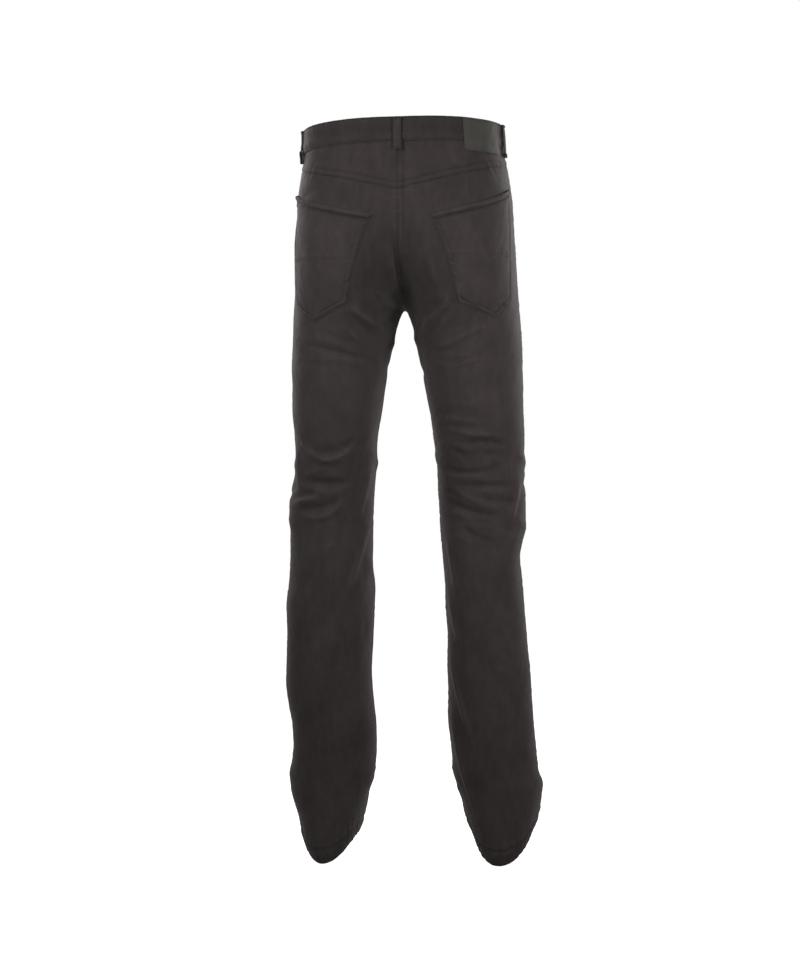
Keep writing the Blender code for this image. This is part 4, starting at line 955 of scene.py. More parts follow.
def sew_tree(tree):
    """Fills in the tree: an arched stitch at even steps along each line, lying in the cloth."""
    given = tree.nodes.new("NodeGroupInput").outputs
    line = add_node(tree, "GeometryNodeMeshToCurve", inputs={"Mesh": given["Seam"]}).outputs[0]
    even = add_node(tree, "GeometryNodeResampleCurve", {"mode": "LENGTH"},
                    {"Curve": line, "Length": given["Pitch"]}).outputs["Curve"]
    outward = add_node(tree, "GeometryNodeInputNamedAttribute", {"data_type": "FLOAT_VECTOR"},
                       {"Name": "outward"}).outputs["Attribute"]
    tangent = add_node(tree, "GeometryNodeInputTangent").outputs["Tangent"]
    laid = add_node(tree, "FunctionNodeAxesToRotation",
                    {"primary_axis": "Z", "secondary_axis": "X"},
                    {"Primary Axis": outward, "Secondary Axis": tangent}).outputs["Rotation"]
    least, most = (reckon(tree, way, given["Turned"], given["Slack"])
                   for way in ("SUBTRACT", "ADD"))
    yaw = add_node(tree, "FunctionNodeRandomValue", {"data_type": "FLOAT"},
                   {2: least, 3: most, "Seed": given["Seed"]}).outputs[1]
    spin = add_node(tree, "ShaderNodeCombineXYZ", inputs={"Z": yaw}).outputs[0]
    spin = add_node(tree, "FunctionNodeEulerToRotation", inputs={"Euler": spin}).outputs[0]
    laid = add_node(tree, "FunctionNodeRotateRotation", {"rotation_space": "LOCAL"},
                    {"Rotation": laid, "Rotate By": spin}).outputs[0]
    behind_it, ahead = (reckon(tree, "MULTIPLY", given["Stitch Length"], k) for k in (-0.5, 0.5))
    sunk, arched = (reckon(tree, "MULTIPLY", given["Thread Radius"], k) for k in (-0.9, 1.7))
    corners = [add_node(tree, "ShaderNodeCombineXYZ", inputs={"X": x, "Z": z}).outputs[0]
               for x, z in ((behind_it, sunk), (0.0, arched), (ahead, sunk))]
    arch_line = add_node(tree, "GeometryNodeCurveQuadraticBezier", inputs={
        "Resolution": 4, "Start": corners[0], "Middle": corners[1], "End": corners[2]}).outputs[0]
    round_thread = add_node(tree, "GeometryNodeCurvePrimitiveCircle", inputs={
        "Resolution": 5, "Radius": given["Thread Radius"]}).outputs["Curve"]
    stitch = add_node(tree, "GeometryNodeCurveToMesh", inputs={
        "Curve": arch_line, "Profile Curve": round_thread, "Fill Caps": True}).outputs["Mesh"]
    rows = add_node(tree, "GeometryNodeInstanceOnPoints", inputs={
        "Points": even, "Instance": stitch, "Rotation": laid}).outputs["Instances"]
    real = add_node(tree, "GeometryNodeRealizeInstances", inputs={0: rows}).outputs[0]
    smooth = add_node(tree, "GeometryNodeSetShadeSmooth", inputs={0: real}).outputs[0]
    dyed = add_node(tree, "GeometryNodeSetMaterial", inputs={
        0: smooth, "Material": given["Thread"]}).outputs[0]
    tree.links.new(dyed, tree.nodes.new("NodeGroupOutput").inputs[0])


sew_tree(thread_tree)

thread, dye_tree, dye_shader, thread_place = plain_material("thread", (0.016, 0.013, 0.012), 0.75)
thread_fuzz = add_node(dye_tree, "ShaderNodeGroup", {"node_tree": nap},
                       {"Place": thread_place, "Fuzz Size": 0.0006}).outputs["Fuzz"]
feed(dye_tree, dye_shader, {
    "Base Color": mixed(dye_tree, thread_fuzz, (0.010, 0.008, 0.0078), (0.026, 0.021, 0.020)),
    "Normal": raised(dye_tree, 0.4, 0.0001, thread_fuzz)})


def sewing_line(surface, off=0.4):
    """Where a needle follows a surface: its points, some thread radii off, and directions."""
    points, normals = surface[:2]
    return points + normals * THREAD * off, normals


def sew(name, lines, **sizes):
    """Stitches along lines, each given as its points and its directions out of the cloth."""
    mesh = bpy.data.meshes.new(name)
    spots, out = (np.vstack([line[k] for line in lines]) for k in (0, 1))
    counts = np.cumsum([0] + [len(points) for points, _ in lines])
    edges = [(k, k + 1) for a, b in zip(counts, counts[1:]) for k in range(a, b - 1)]
    mesh.from_pydata(spots, edges, [])
    outward = mesh.attributes.new("outward", "FLOAT_VECTOR", "POINT")
    outward.data.foreach_set("vector", out.astype(np.float32).ravel())
    seam = placed(name + "_line", mesh)
    sewing = seam.modifiers.new("sewing", "NODES")
    sewing.node_group = thread_tree
    values = {"Thread": thread, **sizes}
    for item in thread_tree.interface.items_tree:
        if item.in_out == "INPUT" and item.name in values:
            sewing[item.identifier] = values[item.name]
    evaluated = seam.evaluated_get(bpy.context.evaluated_depsgraph_get())
    made = bpy.data.meshes.new_from_object(evaluated)
    made.name = name
    bpy.data.objects.remove(seam)
    piece = placed(name, made)
    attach(piece, "root")


def panel_line(side, half, turn, height):
    """A sewing line on a leg panel."""
    turn, height = (np.array(v, float) for v in np.broadcast_arrays(turn, height))
    return sewing_line(leg_surface(side, half, turn, height))


PANEL_SPACING = {"front": 0.0042, "back": 0.0026}    # between columns, and rows above the crotch
PANEL_ZONES = {            # spacing of the level rows down to each height, close where it creases
    "front": ((-0.330, 0.0040), (-0.425, 0.0060), (-0.560, 0.0042), (-0.880, 0.0060),
              (HEM_START, 0.0045)),
    "back": ((-0.360, 0.0019), (-0.400, 0.0032), (-0.595, 0.0019), (-0.760, 0.0040),
             (HEM_START, 0.0046)),
}
SIDE_STEPS = (0.0, 0.0004, 0.0010, 0.0018, 0.0028, 0.0040, 0.0055, 0.0070, 0.0085, 0.0105)
TOP_STEPS = (0.0, 0.0004, 0.0010, 0.0018, 0.0028, 0.0040, 0.0055, 0.0066, 0.0078, 0.0092, 0.0110)
CROTCH_STEPS = (0.0, 0.0004, 0.0012, 0.0025, 0.0045, 0.0070)
HEM_STEPS = (0.0, 0.0003, 0.0008, 0.0016, 0.0030, 0.0055, 0.0085, 0.0115, 0.0145, 0.0170, 0.0190,
             0.0204, 0.0215, 0.0226, 0.0240, 0.0258, 0.0280)
SEAM_INSET = 0.000002      # the pieces all but touch at the seams
PANEL_TOP_GUESS = -0.060   # about where the panels' upper seams lie
HEM_LAYERS = 2.2           # thickness of the turned hem, in layers of cloth
HEM_LAYER_STEP = 0.0015    # height over which it is reached


def between(high, low, spacing):
    """Even rows between two given ones, without them."""
    count = math.ceil(np.mean(high - low) / spacing)
    share = (np.arange(1, count) / count)[:, None]
    return high[None, :] * (1 - share) + low[None, :] * share


def strip_turns(side, half, heights, columns):
    """Turns of a grid whose outer columns keep their distances from the two seams."""
    width = half_width(side, half, heights)
    steps = np.array(SIDE_STEPS) + SEAM_INSET
    ends = len(steps)
    margin = steps[-1] / width[:, ends:-ends]
    share = np.linspace(0, 1, columns - 2 * ends + 2)[1:-1]
    near = steps / width[:, :ends]
    far = 1 - steps[::-1] / width[:, -ends:]
    return (1 if half == "back" else 0) + np.hstack([near, margin + share * (1 - 2 * margin), far])


def area_of(points):
    """Area of a grid of points."""
    down, over = np.diff(points, axis=0)[:, :-1], np.diff(points, axis=1)[:-1]
    return float(np.linalg.norm(np.cross(down, over), axis=-1).sum())


def on_cut(side, half, turns, heights):
    """Places on the flat cut: across from the side seam, and up."""
    return np.stack([(turns - 1) * half_width(side, half, heights), heights], -1)


def meet_in_middle(side, sheets, heights, seam_column):
    """Above the crotch, puts a panel's edge on the centre seam and keeps the rest off it."""
    centre = read(OUTLINE, "centre", heights)
    for sheet in sheets:
        out = np.maximum(side * (sheet[..., 0] - centre), SEAM_INSET)
        out[:, seam_column] = SEAM_INSET
        sheet[..., 0] = np.where(heights > CROTCH - 1e-6, centre + side * out, sheet[..., 0])


def sew_panel(side, half):
    """A leg panel from its upper seam to its hem."""
    spacing = PANEL_SPACING[half]
    widest = half_width(side, half, CROTCH)
    columns = 2 * len(SIDE_STEPS) + math.ceil((widest - 2 * SIDE_STEPS[-1]) / spacing)
    flat_row = np.zeros((1, columns))
    high = strip_turns(side, half, flat_row + PANEL_TOP_GUESS, columns)[0]
    low = strip_turns(side, half, flat_row + HEM_SIDE, columns)[0]
    top_steps = np.array((TUCK_STEPS if half == "front" else ()) + TOP_STEPS)
    top = panel_top(half, high)[None, :] - SEAM_INSET - top_steps[:, None]
    crotch = flat_row + CROTCH - np.array(CROTCH_STEPS)[:, None]
    hem = hem_height(side, low)[None, :] + np.array(HEM_STEPS[::-1])[:, None]
    rows = [top, between(top[-1], crotch[0], spacing), crotch]
    for end, zone_spacing in PANEL_ZONES[half]:
        rows += [between(rows[-1][-1], flat_row[0] + end, zone_spacing), flat_row + end]
    heights = np.vstack(rows + [between(rows[-1][-1], hem[0], spacing), hem])
    turns = strip_turns(side, half, heights, columns)
    points, normals, tone_and_painted_light, apart = leg_surface(side, half, turns, heights)
    layers = 1 + (HEM_LAYERS - 1) * ease((HEM_DEPTH - apart["hem"]) / HEM_LAYER_STEP)
    apart["top"] = apart["top"] + (TUCK if half == "front" else 0)
    to_edge = np.minimum.reduce([apart[edge] for edge in ("side", "inner", "top")])
    share = np.minimum(rounding(to_edge, CLOTH), rounding(apart["hem"], CLOTH * HEM_LAYERS))
    outer, inner = two_sides(points, normals, CLOTH * layers, share)
    meet_in_middle(side, (outer, inner), heights, 0 if half == "front" else -1)
    name = f"{half}_{SIDES[side]}"
    flat = on_cut(side, half, turns, heights)
    piece = cloth_piece(name + "_cloth", outer, inner, flat, tone_and_painted_light, knit)
    dress(piece, name)
    area_of(bare(side, turns, heights))


for body_side in SIDES:
    for panel_half in ("front", "back"):
        sew_panel(body_side, panel_half)

SEWN_STEP = 0.002          # between points along a sewing line
HEM_LINE_INSET, HEM_LINE_POINTS = 0.004, 120  # a row stops this share of a half short of a seam
hem_lines = []
for body_side in SIDES:
    for panel_half, first, last in (("front", 0.0, 1.0), ("back", 1.0, 2.0)):
        along = np.linspace(first + HEM_LINE_INSET, last - HEM_LINE_INSET, HEM_LINE_POINTS)
        level = hem_height(body_side, along) + HEM_DEPTH
        hem_lines.append(panel_line(body_side, panel_half, along, level))
sew("hem_stitches", hem_lines)

seat_lines = []
for row_distance in STITCH_LINES:
    heights_sewn = np.arange(SEAT_FELL_END, YOKE_BACK - 0.002, SEWN_STEP)
    row_width = half_width(RIGHT, "back", heights_sewn)
    seat_lines.append(panel_line(RIGHT, "back", 2 - row_distance / row_width, heights_sewn))
sew("seat_stitches", seat_lines)

# ----------------------------------------------------------------------------------------------
# The yokes. Two shaped pieces of the same knit between the waistband and the back panels, joined
# at the centre back and to the panels by the felled seam that makes the wide V.
YOKE_SPACING = 0.0026
YOKE_TOP_STEPS = TUCK_STEPS + (0.0, 0.0005, 0.0013, 0.0025, 0.0040)
YOKE_LOW_STEPS = (0.0, 0.0004, 0.0010, 0.0018, 0.0030, 0.0046)
YOKE_MIN_ROWS = 7
YOKE_SUNK = {"side": 1.0, "inner": 0.3, "low": 0.2, "top": 0.5}      # how sunk its seams are
YOKE_SHADE = 0.7           # and how much darker the painted shade along them is


def yoke_surface(side, turn, height):
    """A yoke's outside: points, outward directions, painted highlight and shade, and distances to
    its edges.
    """
    width = half_width(side, "back", height)
    apart = {"side": (turn - 1) * width, "inner": (2 - turn) * width}
    apart["top"] = band_middle(turn) - BAND_HEIGHT / 2 - height
    apart["low"] = height - panel_top("back", turn)
    points, normals, lift, tone_and_painted_light = soft_surface(side, turn, height)
    lift -= tucked(apart["top"])
    for edge, sunk in YOKE_SUNK.items():
        along = height if edge in ("side", "inner") else turn * width
        lift += drawn_up(edge, apart[edge], along, sunk)
        # painted shade along its seams
        tone_and_painted_light -= YOKE_SHADE * sunk * bump(apart[edge], TOP_MARK)
    for distance in (apart["low"],) + ((apart["inner"],) if side == RIGHT else ()):
        ridge, fell_painted_light = felled(distance)
        lift, tone_and_painted_light = lift + ridge, tone_and_painted_light + fell_painted_light
    return points + normals * lift[..., None], normals, tone_and_painted_light, apart


def sew_yoke(side):
    """A yoke from the waistband down to the V seam."""
    widest = half_width(side, "back", YOKE_SIDE)
    columns = 2 * len(SIDE_STEPS) + math.ceil((widest - 2 * SIDE_STEPS[-1]) / YOKE_SPACING)
    turns = strip_turns(side, "back", np.full((1, columns), YOKE_SIDE), columns)[0]
    high = band_middle(turns) - BAND_HEIGHT / 2 - SEAM_INSET
    low = panel_top("back", turns) + SEAM_INSET
    top = high[None, :] - np.array(YOKE_TOP_STEPS)[:, None]
    foot = low[None, :] + np.array(YOKE_LOW_STEPS[::-1])[:, None]
    count = max(YOKE_MIN_ROWS, math.ceil((high - low).max() / YOKE_SPACING))
    share = (np.arange(1, count) / count)[:, None]
    heights = np.vstack([top, top[-1] * (1 - share) + foot[0] * share, foot])
    turns = np.broadcast_to(turns, heights.shape)
    points, normals, tone_and_painted_light, apart = yoke_surface(side, turns, heights)
    apart["top"] = apart["top"] + TUCK
    share = rounding(np.minimum.reduce(list(apart.values())), CLOTH)
    outer, inner = two_sides(points, normals, CLOTH, share)
    meet_in_middle(side, (outer, inner), heights, -1)
    name = f"yoke_{SIDES[side]}"
    flat = on_cut(side, "back", turns, heights)
    piece = cloth_piece(name + "_cloth", outer, inner, flat, tone_and_painted_light, knit)
    dress(piece, name)
    area_of(bare(side, turns, heights))


for body_side in SIDES:
    sew_yoke(body_side)

YOKE_ROW, YOKE_ROW_POINTS = (1.004, 1.998), 130          # turns between which a row runs
YOKE_SEAT_INSET, YOKE_SEAT_POINTS = 0.001, 26
yoke_lines = []
for row_distance in STITCH_LINES:
    for body_side in SIDES:
        along = np.linspace(*YOKE_ROW, YOKE_ROW_POINTS)
        level = panel_top("back", along) + row_distance
        yoke_lines.append(sewing_line(yoke_surface(body_side, along, level)))
    level = np.linspace(YOKE_BACK + YOKE_SEAT_INSET,
                        band_middle(2.0) - BAND_HEIGHT / 2 - YOKE_SEAT_INSET, YOKE_SEAT_POINTS)
    along = 2 - row_distance / half_width(RIGHT, "back", level)
    yoke_lines.append(sewing_line(yoke_surface(RIGHT, along, level)))
sew("yoke_stitches", yoke_lines)

# ----------------------------------------------------------------------------------------------
# The waistband. Two straight strips, each folded over a stay, joined under the centre-back loop
# and stitched all round 2 mm inside the edges. The left end laps over the right one.
BAND_EDGE_STEPS = (0.0, 0.0003, 0.0008, 0.0014, 0.0020, 0.0028, 0.0040, 0.0058)
BAND_END_STEPS = (0.0, 0.001)
BAND_STITCH = 0.0022
BAND_STITCH_SINK, BAND_STITCH_WIDTH = 0.0005, 0.0013
BAND_SPACING = 0.0028
BAND_PUCKER, BAND_SEEDS = 0.00045, {"low": 91, "top": 95}
BAND_RIPPLE_SLANT = 0.4    # its ripples lean, and are strongest near its foot
BAND_RIPPLE_AT, BAND_RIPPLE_WIDTH, BAND_RIPPLE_LEAST = 0.004, 0.009, 0.35
BAND_TOP_RIPPLE, BAND_TOP_WIDTH = 0.7, 0.007  # and others along its upper edge
BAND_WAVE, BAND_WAVE_SHARE, BAND_WAVE_SEED = 0.04, 0.6, 21
BAND_FULL, BAND_FULL_FROM = 0.0006, 0.009    # it is fuller between the two rows of stitches
# A soft ridge and a hollow run round it: height above its foot, width, and lift.
BAND_FORMS = ((0.0085, 0.0040, 0.0006), (0.0190, 0.0060, -0.0004))
BAND_PAINTED_LIGHT = (              # painted highlight on its ridge, its fuller middle and its edges, painted shade in its hollow and along its stitches: place, width and strength, from its foot and from an edge
    ("low", 0.0085, 0.0035, 0.30), ("low", 0.0190, 0.0060, -0.25), ("near", 0.0045, 0.0018, 0.45),
    ("near", BAND_STITCH, 0.0010, -0.70), ("near", 0.0, 0.0008, 0.25))
BAND_TONE = -0.60          # its nap is darker than the panels'
LAP_STITCH_SHARE = 0.86    # place of the row of stitches across the lapped end


def band_width(side, half):
    """Half the waistband's length over the front or the back."""
    return half_width(side, half, BAND_MIDDLE[half])


def band_surface(side, turn, height):
    """The waistband's outside, also where it laps past the centre front (turn below 0)."""
    own, far = np.clip(turn, 0, 2), np.abs(turn)
    beyond = (turn < 0)[..., None]
    points = np.where(beyond, bare(-side, far, height), bare(side, own, height))
    normals = np.where(beyond, facing(bare, -side, far, height), facing(bare, side, own, height))
    arc = turn * band_width(side, "front")
    low = band_middle(own) - BAND_HEIGHT / 2
    apart = {"low": height - low, "top": low + BAND_HEIGHT - height, "lap": arc + BAND_LAP}
    near = np.minimum(apart["low"], apart["top"])
    ripple = pucker(arc + BAND_RIPPLE_SLANT * height, BAND_SEEDS["low"] + side)
    near_foot = bump(apart["low"] - BAND_RIPPLE_AT, BAND_RIPPLE_WIDTH)
    ripple = ripple * (BAND_RIPPLE_LEAST + (1 - BAND_RIPPLE_LEAST) * near_foot)
    upper = pucker(arc, BAND_SEEDS["top"] + side) * bump(apart["top"], BAND_TOP_WIDTH)
    ripple += BAND_TOP_RIPPLE * upper
    lift = BAND_PROUD + BAND_LAP_LIFT * lap_rise(side, arc) + BAND_PUCKER * ripple
    lift += BAND_FULL * ease((near - BAND_STITCH) / BAND_FULL_FROM)
    lift += BAND_WAVE_SHARE * BROAD_LIFT * uneven(points, BAND_WAVE, BAND_WAVE_SEED)
    for distance in (near, apart["lap"]):
        lift -= BAND_STITCH_SINK * bump(distance - BAND_STITCH, BAND_STITCH_WIDTH)
    for place, form_width, high in BAND_FORMS:
        lift += high * bump(apart["low"] - place, form_width)
    tone_and_painted_light = BAND_TONE
    # painted highlight and shade along the waistband
    for edge, place, mark_width, strength in BAND_PAINTED_LIGHT:
        tone_and_painted_light = tone_and_painted_light + strength * bump((near if edge == "near" else apart["low"]) - place, mark_width)
    return points + normals * lift[..., None], normals, tone_and_painted_light, apart


def sew_band(side):
    """Half of the waistband, a closed strip with soft edges."""
    front_width, back_width = band_width(side, "front"), band_width(side, "back")
    steps, end_steps = np.array(BAND_EDGE_STEPS), np.array(BAND_END_STEPS)
    ahead = stations(BAND_LAP + front_width, steps, end_steps, BAND_SPACING)
    behind = stations(back_width, end_steps, end_steps, BAND_SPACING)
    turns = np.concatenate([(ahead - BAND_LAP) / front_width, 1 + behind[1:] / back_width])
    up = stations(BAND_HEIGHT - 2 * SEAM_INSET, steps, steps, BAND_SPACING)
    low = band_middle(np.clip(turns, 0, 2)) - BAND_HEIGHT / 2 + SEAM_INSET
    heights = low[None, :] + up[:, None]
    turns = np.broadcast_to(turns, heights.shape)
    points, normals, tone_and_painted_light, apart = band_surface(side, turns, heights)
    share = rounding(np.minimum.reduce(list(apart.values())), BAND_CLOTH)
    outer, inner = two_sides(points, normals, BAND_CLOTH, share)
    for sheet in (outer, inner):
        sheet[:, -1, 0] = side * SEAM_INSET
    along = np.broadcast_to(np.concatenate([ahead, ahead[-1] + behind[1:]]), heights.shape)
    flat = np.stack([along, np.broadcast_to(up[:, None], heights.shape)], -1)
    name = f"waistband_{SIDES[side]}"
    piece = cloth_piece(name + "_cloth", outer, inner, flat[..., ::-1], tone_and_painted_light, knit)
    dress(piece, name)


for body_side in SIDES:
    sew_band(body_side)

BAND_ROW_END, BAND_ROW_POINTS = 1.997, 420
LAP_ROW_REACH, LAP_ROW_POINTS = 0.43, 30      # half its length, as a share of the band's height
band_lines = []
for body_side in SIDES:
    lap_stitch = -LAP_STITCH_SHARE * BAND_LAP / band_width(body_side, "front")
    along = np.linspace(lap_stitch, BAND_ROW_END, BAND_ROW_POINTS)
    for edge_distance in (BAND_STITCH, BAND_HEIGHT - BAND_STITCH):
        level = band_middle(np.clip(along, 0, 2)) - BAND_HEIGHT / 2 + edge_distance
        band_lines.append(sewing_line(band_surface(body_side, along, level)))
    level = np.linspace(-LAP_ROW_REACH, LAP_ROW_REACH, LAP_ROW_POINTS)
    level = band_middle(0.0) + level * BAND_HEIGHT
    along = np.full(LAP_ROW_POINTS, lap_stitch)
    band_lines.append(sewing_line(band_surface(body_side, along, level)))
sew("waistband_stitches", band_lines)

# ----------------------------------------------------------------------------------------------
# The back pockets. Five-sided patches of the knit with all edges turned in, a mouth rolled over
# twice that gapes a little at its outer corner, and two rows of stitches round the other edges.
POCKET_LIFT = 0.0008       # air under the pocket cloth
POCKET_RIM = 0.0010        # how much thicker its turned mouth is
POCKET_CORNERS = {         # mouth and foot at the side, the foot's tip, foot and mouth at the back
    LEFT: ((0.045, -0.0795), (0.058, -0.238), (0.106, -0.2675), (0.163, -0.2430),
           (0.2025, -0.1190)),
    RIGHT: ((0.042, -0.0795), (0.058, -0.240), (0.096, -0.2680), (0.158, -0.2465),
            (0.1965, -0.1210)),
}
POCKET_TIP = 4 / 12        # where across it the tip lies
POCKET_SAG = 0.003
POCKET_SPACING = 0.0027
POCKET_EDGE_STEPS = (0.0, 0.0004, 0.0010, 0.0018, 0.0027, 0.0040, 0.0055, 0.0068, 0.0082, 0.0098)
POCKET_MOUTH_STEPS = (0.0, 0.0005, 0.0013, 0.0024, 0.0036, 0.0048, 0.0058, 0.0066, 0.0074, 0.0082,
                      0.0092, 0.0108, 0.0130)
POCKET_STITCHES = (0.0018, 0.0078)
POCKET_WELT = 0.0048       # the soft ridge between the two rows
POCKET_PUCKER = 0.00055
POCKET_PRESS, POCKET_PRESS_WIDTH = 0.0011, 0.0095    # its sewn edges are pressed flatter
MOUTH_ROLL = 0.0026        # half the rolled mouth's width
MOUTH_GROOVE = 0.0076      # its row of stitches lies this far below its edge
MOUTH_GAPE = 0.0022
POCKET_CREASE, POCKET_CREASE_LIFT = -0.178, 0.0009   # a pressed line across both pockets
POCKET_FIRM, POCKET_FIRMER = 0.15, 0.30    # how firmly its side is sewn, and away from its side
POCKET_FIRM_OVER = 0.02    # over this distance; it is firm where its foot is sewn
POCKET_FOOT_FIRM, POCKET_FOOT_OVER = 1.6, 0.010
POCKET_SOFT_PRESS = 0.3    # what is sewn less firmly is pressed this much flatter
POCKET_FREE = 0.012        # its cloth moves freely this far from its side, and wrinkles
POCKET_WRINKLE_AT, POCKET_WRINKLE_SLANT, POCKET_WRINKLE_LEAST = 0.0050, 0.6, 0.3
POCKET_SEEDS = {"edges": 101, "mouth": 107}
POCKET_WELT_LIFT, POCKET_WELT_WIDTH = 0.0004, 0.0022
POCKET_HOLLOW, POCKET_HOLLOW_SINK = 0.0105, 0.00045  # inside its rows of stitches
POCKET_ROW_SINK, POCKET_ROW_MARK = 2.4, 0.0012
POCKET_RIM_END, POCKET_RIM_EASE, POCKET_THIN = 0.0065, 0.002, 0.45
# painted highlight on what stands proud, on the welt and wrinkles and on the rolled mouth
POCKET_RIDGE_PAINT, POCKET_RIDGE_PAINT_FROM = 0.35, 0.8
POCKET_WELT_HIGHLIGHT, POCKET_WELT_MARK = 0.45, 0.0018
POCKET_SHADE = 1.8         # how dark the painted shade along its rows of stitches and its mouth's groove is
MOUTH_SINK, MOUTH_SINK_WIDTH = 0.0020, 0.0019
MOUTH_GAPE_ACROSS, MOUTH_GAPE_DOWN = 0.30, 0.011     # share of its width, and height, that gapes
MOUTH_GAPE_FROM = 0.006    # it is held down this near the sewn edges
MOUTH_ROLL_WIDE, MOUTH_ROLL_HIGH = 1.35, 1.15
MOUTH_RIPPLE, MOUTH_RIPPLE_WIDTH = 0.5, 0.012
MOUTH_HIGHLIGHT, MOUTH_MARK, MOUTH_GROOVE_MARK = 0.6, 0.0022, 0.0018
CREASE_SLOPE, CREASE_EDGE = 0.004, 0.01
CREASE_RIDGE, CREASE_TROUGH = (0.0022, 0.0022), (-0.0014, 0.0016)    # height off it, and width


def pocket_mouth(side, across):
    """Places along a pocket's mouth on the cut, which sags a little."""
    start, end = (np.array(POCKET_CORNERS[side][k]) for k in (0, -1))
    mouth = start * (1 - across[..., None]) + end * across[..., None]
    mouth[..., 1] -= POCKET_SAG * 4 * across * (1 - across)
    return mouth


def pocket_flat(side, across, down):
    """Places on the cut, from shares across and down the pocket."""
    foot_points = np.array(POCKET_CORNERS[side])[1:4]
    foot = np.stack([np.interp(across, (0, POCKET_TIP, 1), foot_points[:, k]) for k in (0, 1)], -1)
    return pocket_mouth(side, across) * (1 - down[..., None]) + foot * down[..., None]


def to_line(flat, start, end):
    """Distance of places on the cut from a straight edge."""
    run = (end - start) / np.linalg.norm(end - start)
    return np.abs((flat[..., 0] - start[0]) * run[1] - (flat[..., 1] - start[1]) * run[0])


def pocket_surface(side, flat, across):
    """A pocket's outside: points, directions, painted highlight and shade, and distances to its
    sewn edges and mouth.
    """
    outline = np.array(POCKET_CORNERS[side])
    turn = 1 + flat[..., 0] / half_width(side, "back", flat[..., 1])
    points, normals, lift, _ = soft_surface(side, turn, flat[..., 1])
    edges = [to_line(flat, a, b) for a, b in zip(outline, outline[1:])]
    sewn = np.minimum.reduce(edges)
    slope = math.atan2(outline[0][1] - outline[-1][1], outline[-1][0] - outline[0][0])
    mouth = (pocket_mouth(side, across)[..., 1] - flat[..., 1]) * math.cos(slope)
    firm = POCKET_FIRM + POCKET_FIRMER * ease(edges[0] / POCKET_FIRM_OVER)
    firm += (1 - firm) * ease(POCKET_FOOT_FIRM - np.minimum(*edges[1:3]) / POCKET_FOOT_OVER)
    pressed = 1 + POCKET_SOFT_PRESS - POCKET_SOFT_PRESS * firm
    pressed = ease(1 - sewn / POCKET_PRESS_WIDTH) * pressed
    free = ease(edges[0] / POCKET_FREE)
    lift = lift + POCKET_LIFT + CLOTH - POCKET_PRESS * pressed
    slanted = flat[..., 1] - POCKET_WRINKLE_SLANT * flat[..., 0]
    wrinkled = pucker(slanted, POCKET_SEEDS["edges"] + side)
    wrinkled = wrinkled * bump(sewn - POCKET_WRINKLE_AT, POCKET_WRINKLE_AT)
    loose = POCKET_WRINKLE_LEAST + (1 - POCKET_WRINKLE_LEAST) * free
    lift += POCKET_PUCKER * wrinkled * loose
    lift += (POCKET_WELT_LIFT * bump(sewn - POCKET_WELT, POCKET_WELT_WIDTH)
             - POCKET_HOLLOW_SINK * bump(sewn - POCKET_HOLLOW, POCKET_WELT_WIDTH))
    rolled = (mouth - MOUTH_ROLL) / (MOUTH_ROLL_WIDE * MOUTH_ROLL)
    roll = np.sqrt(np.clip(1 - rolled ** 2, 0, 1))
    rippled = pucker(flat[..., 0], POCKET_SEEDS["mouth"] + side) * bump(mouth, MOUTH_RIPPLE_WIDTH)
    lift += MOUTH_ROLL_HIGH * POCKET_RIM * roll + MOUTH_RIPPLE * POCKET_PUCKER * rippled
    lift -= MOUTH_SINK * free * bump(mouth - MOUTH_GROOVE, MOUTH_SINK_WIDTH)
    gape = bump(across, MOUTH_GAPE_ACROSS) * bump(mouth, MOUTH_GAPE_DOWN)
    lift += MOUTH_GAPE * ease(sewn / MOUTH_GAPE_FROM) * gape
    crease = flat[..., 1] - POCKET_CREASE + CREASE_SLOPE * (across - 0.5)
    ridge, trough = (bump(crease - place, width) for place, width in (CREASE_RIDGE, CREASE_TROUGH))
    lift += POCKET_CREASE_LIFT * (ridge - trough) * ease(sewn / CREASE_EDGE)
    for line in POCKET_STITCHES:
        lift -= POCKET_ROW_SINK * firm * STITCH_SINK * bump(sewn - line, STITCH_SINK_WIDTH)
    # painted highlight on what stands proud, its rolled mouth, welt and wrinkles; painted shade in
    # its mouth's groove and rows of stitches
    tone_and_painted_light = POCKET_RIDGE_PAINT * np.clip(lift / RIDGE_PAINT_LIFT - POCKET_RIDGE_PAINT_FROM, -1, 1)
    tone_and_painted_light = tone_and_painted_light + MOUTH_HIGHLIGHT * bump(mouth - MOUTH_ROLL, MOUTH_MARK)
    welt = firm * bump(sewn - POCKET_WELT, POCKET_WELT_MARK)
    tone_and_painted_light += POCKET_WELT_HIGHLIGHT * welt + POCKET_WELT_HIGHLIGHT * wrinkled
    tone_and_painted_light -= POCKET_SHADE * bump(mouth - MOUTH_GROOVE, MOUTH_GROOVE_MARK)
    for line in POCKET_STITCHES:
        tone_and_painted_light -= POCKET_SHADE * firm * bump(sewn - line, POCKET_ROW_MARK)
    return points + normals * lift[..., None], normals, tone_and_painted_light, sewn, mouth


def pocket_line(side, path):
    """A sewing line on a pocket, from places on the cut."""
    low, high = (POCKET_CORNERS[side][k][0] for k in (0, -1))
    across = np.clip((path[:, 0] - low) / (high - low), 0, 1)
    return sewing_line(pocket_surface(side, path, across))


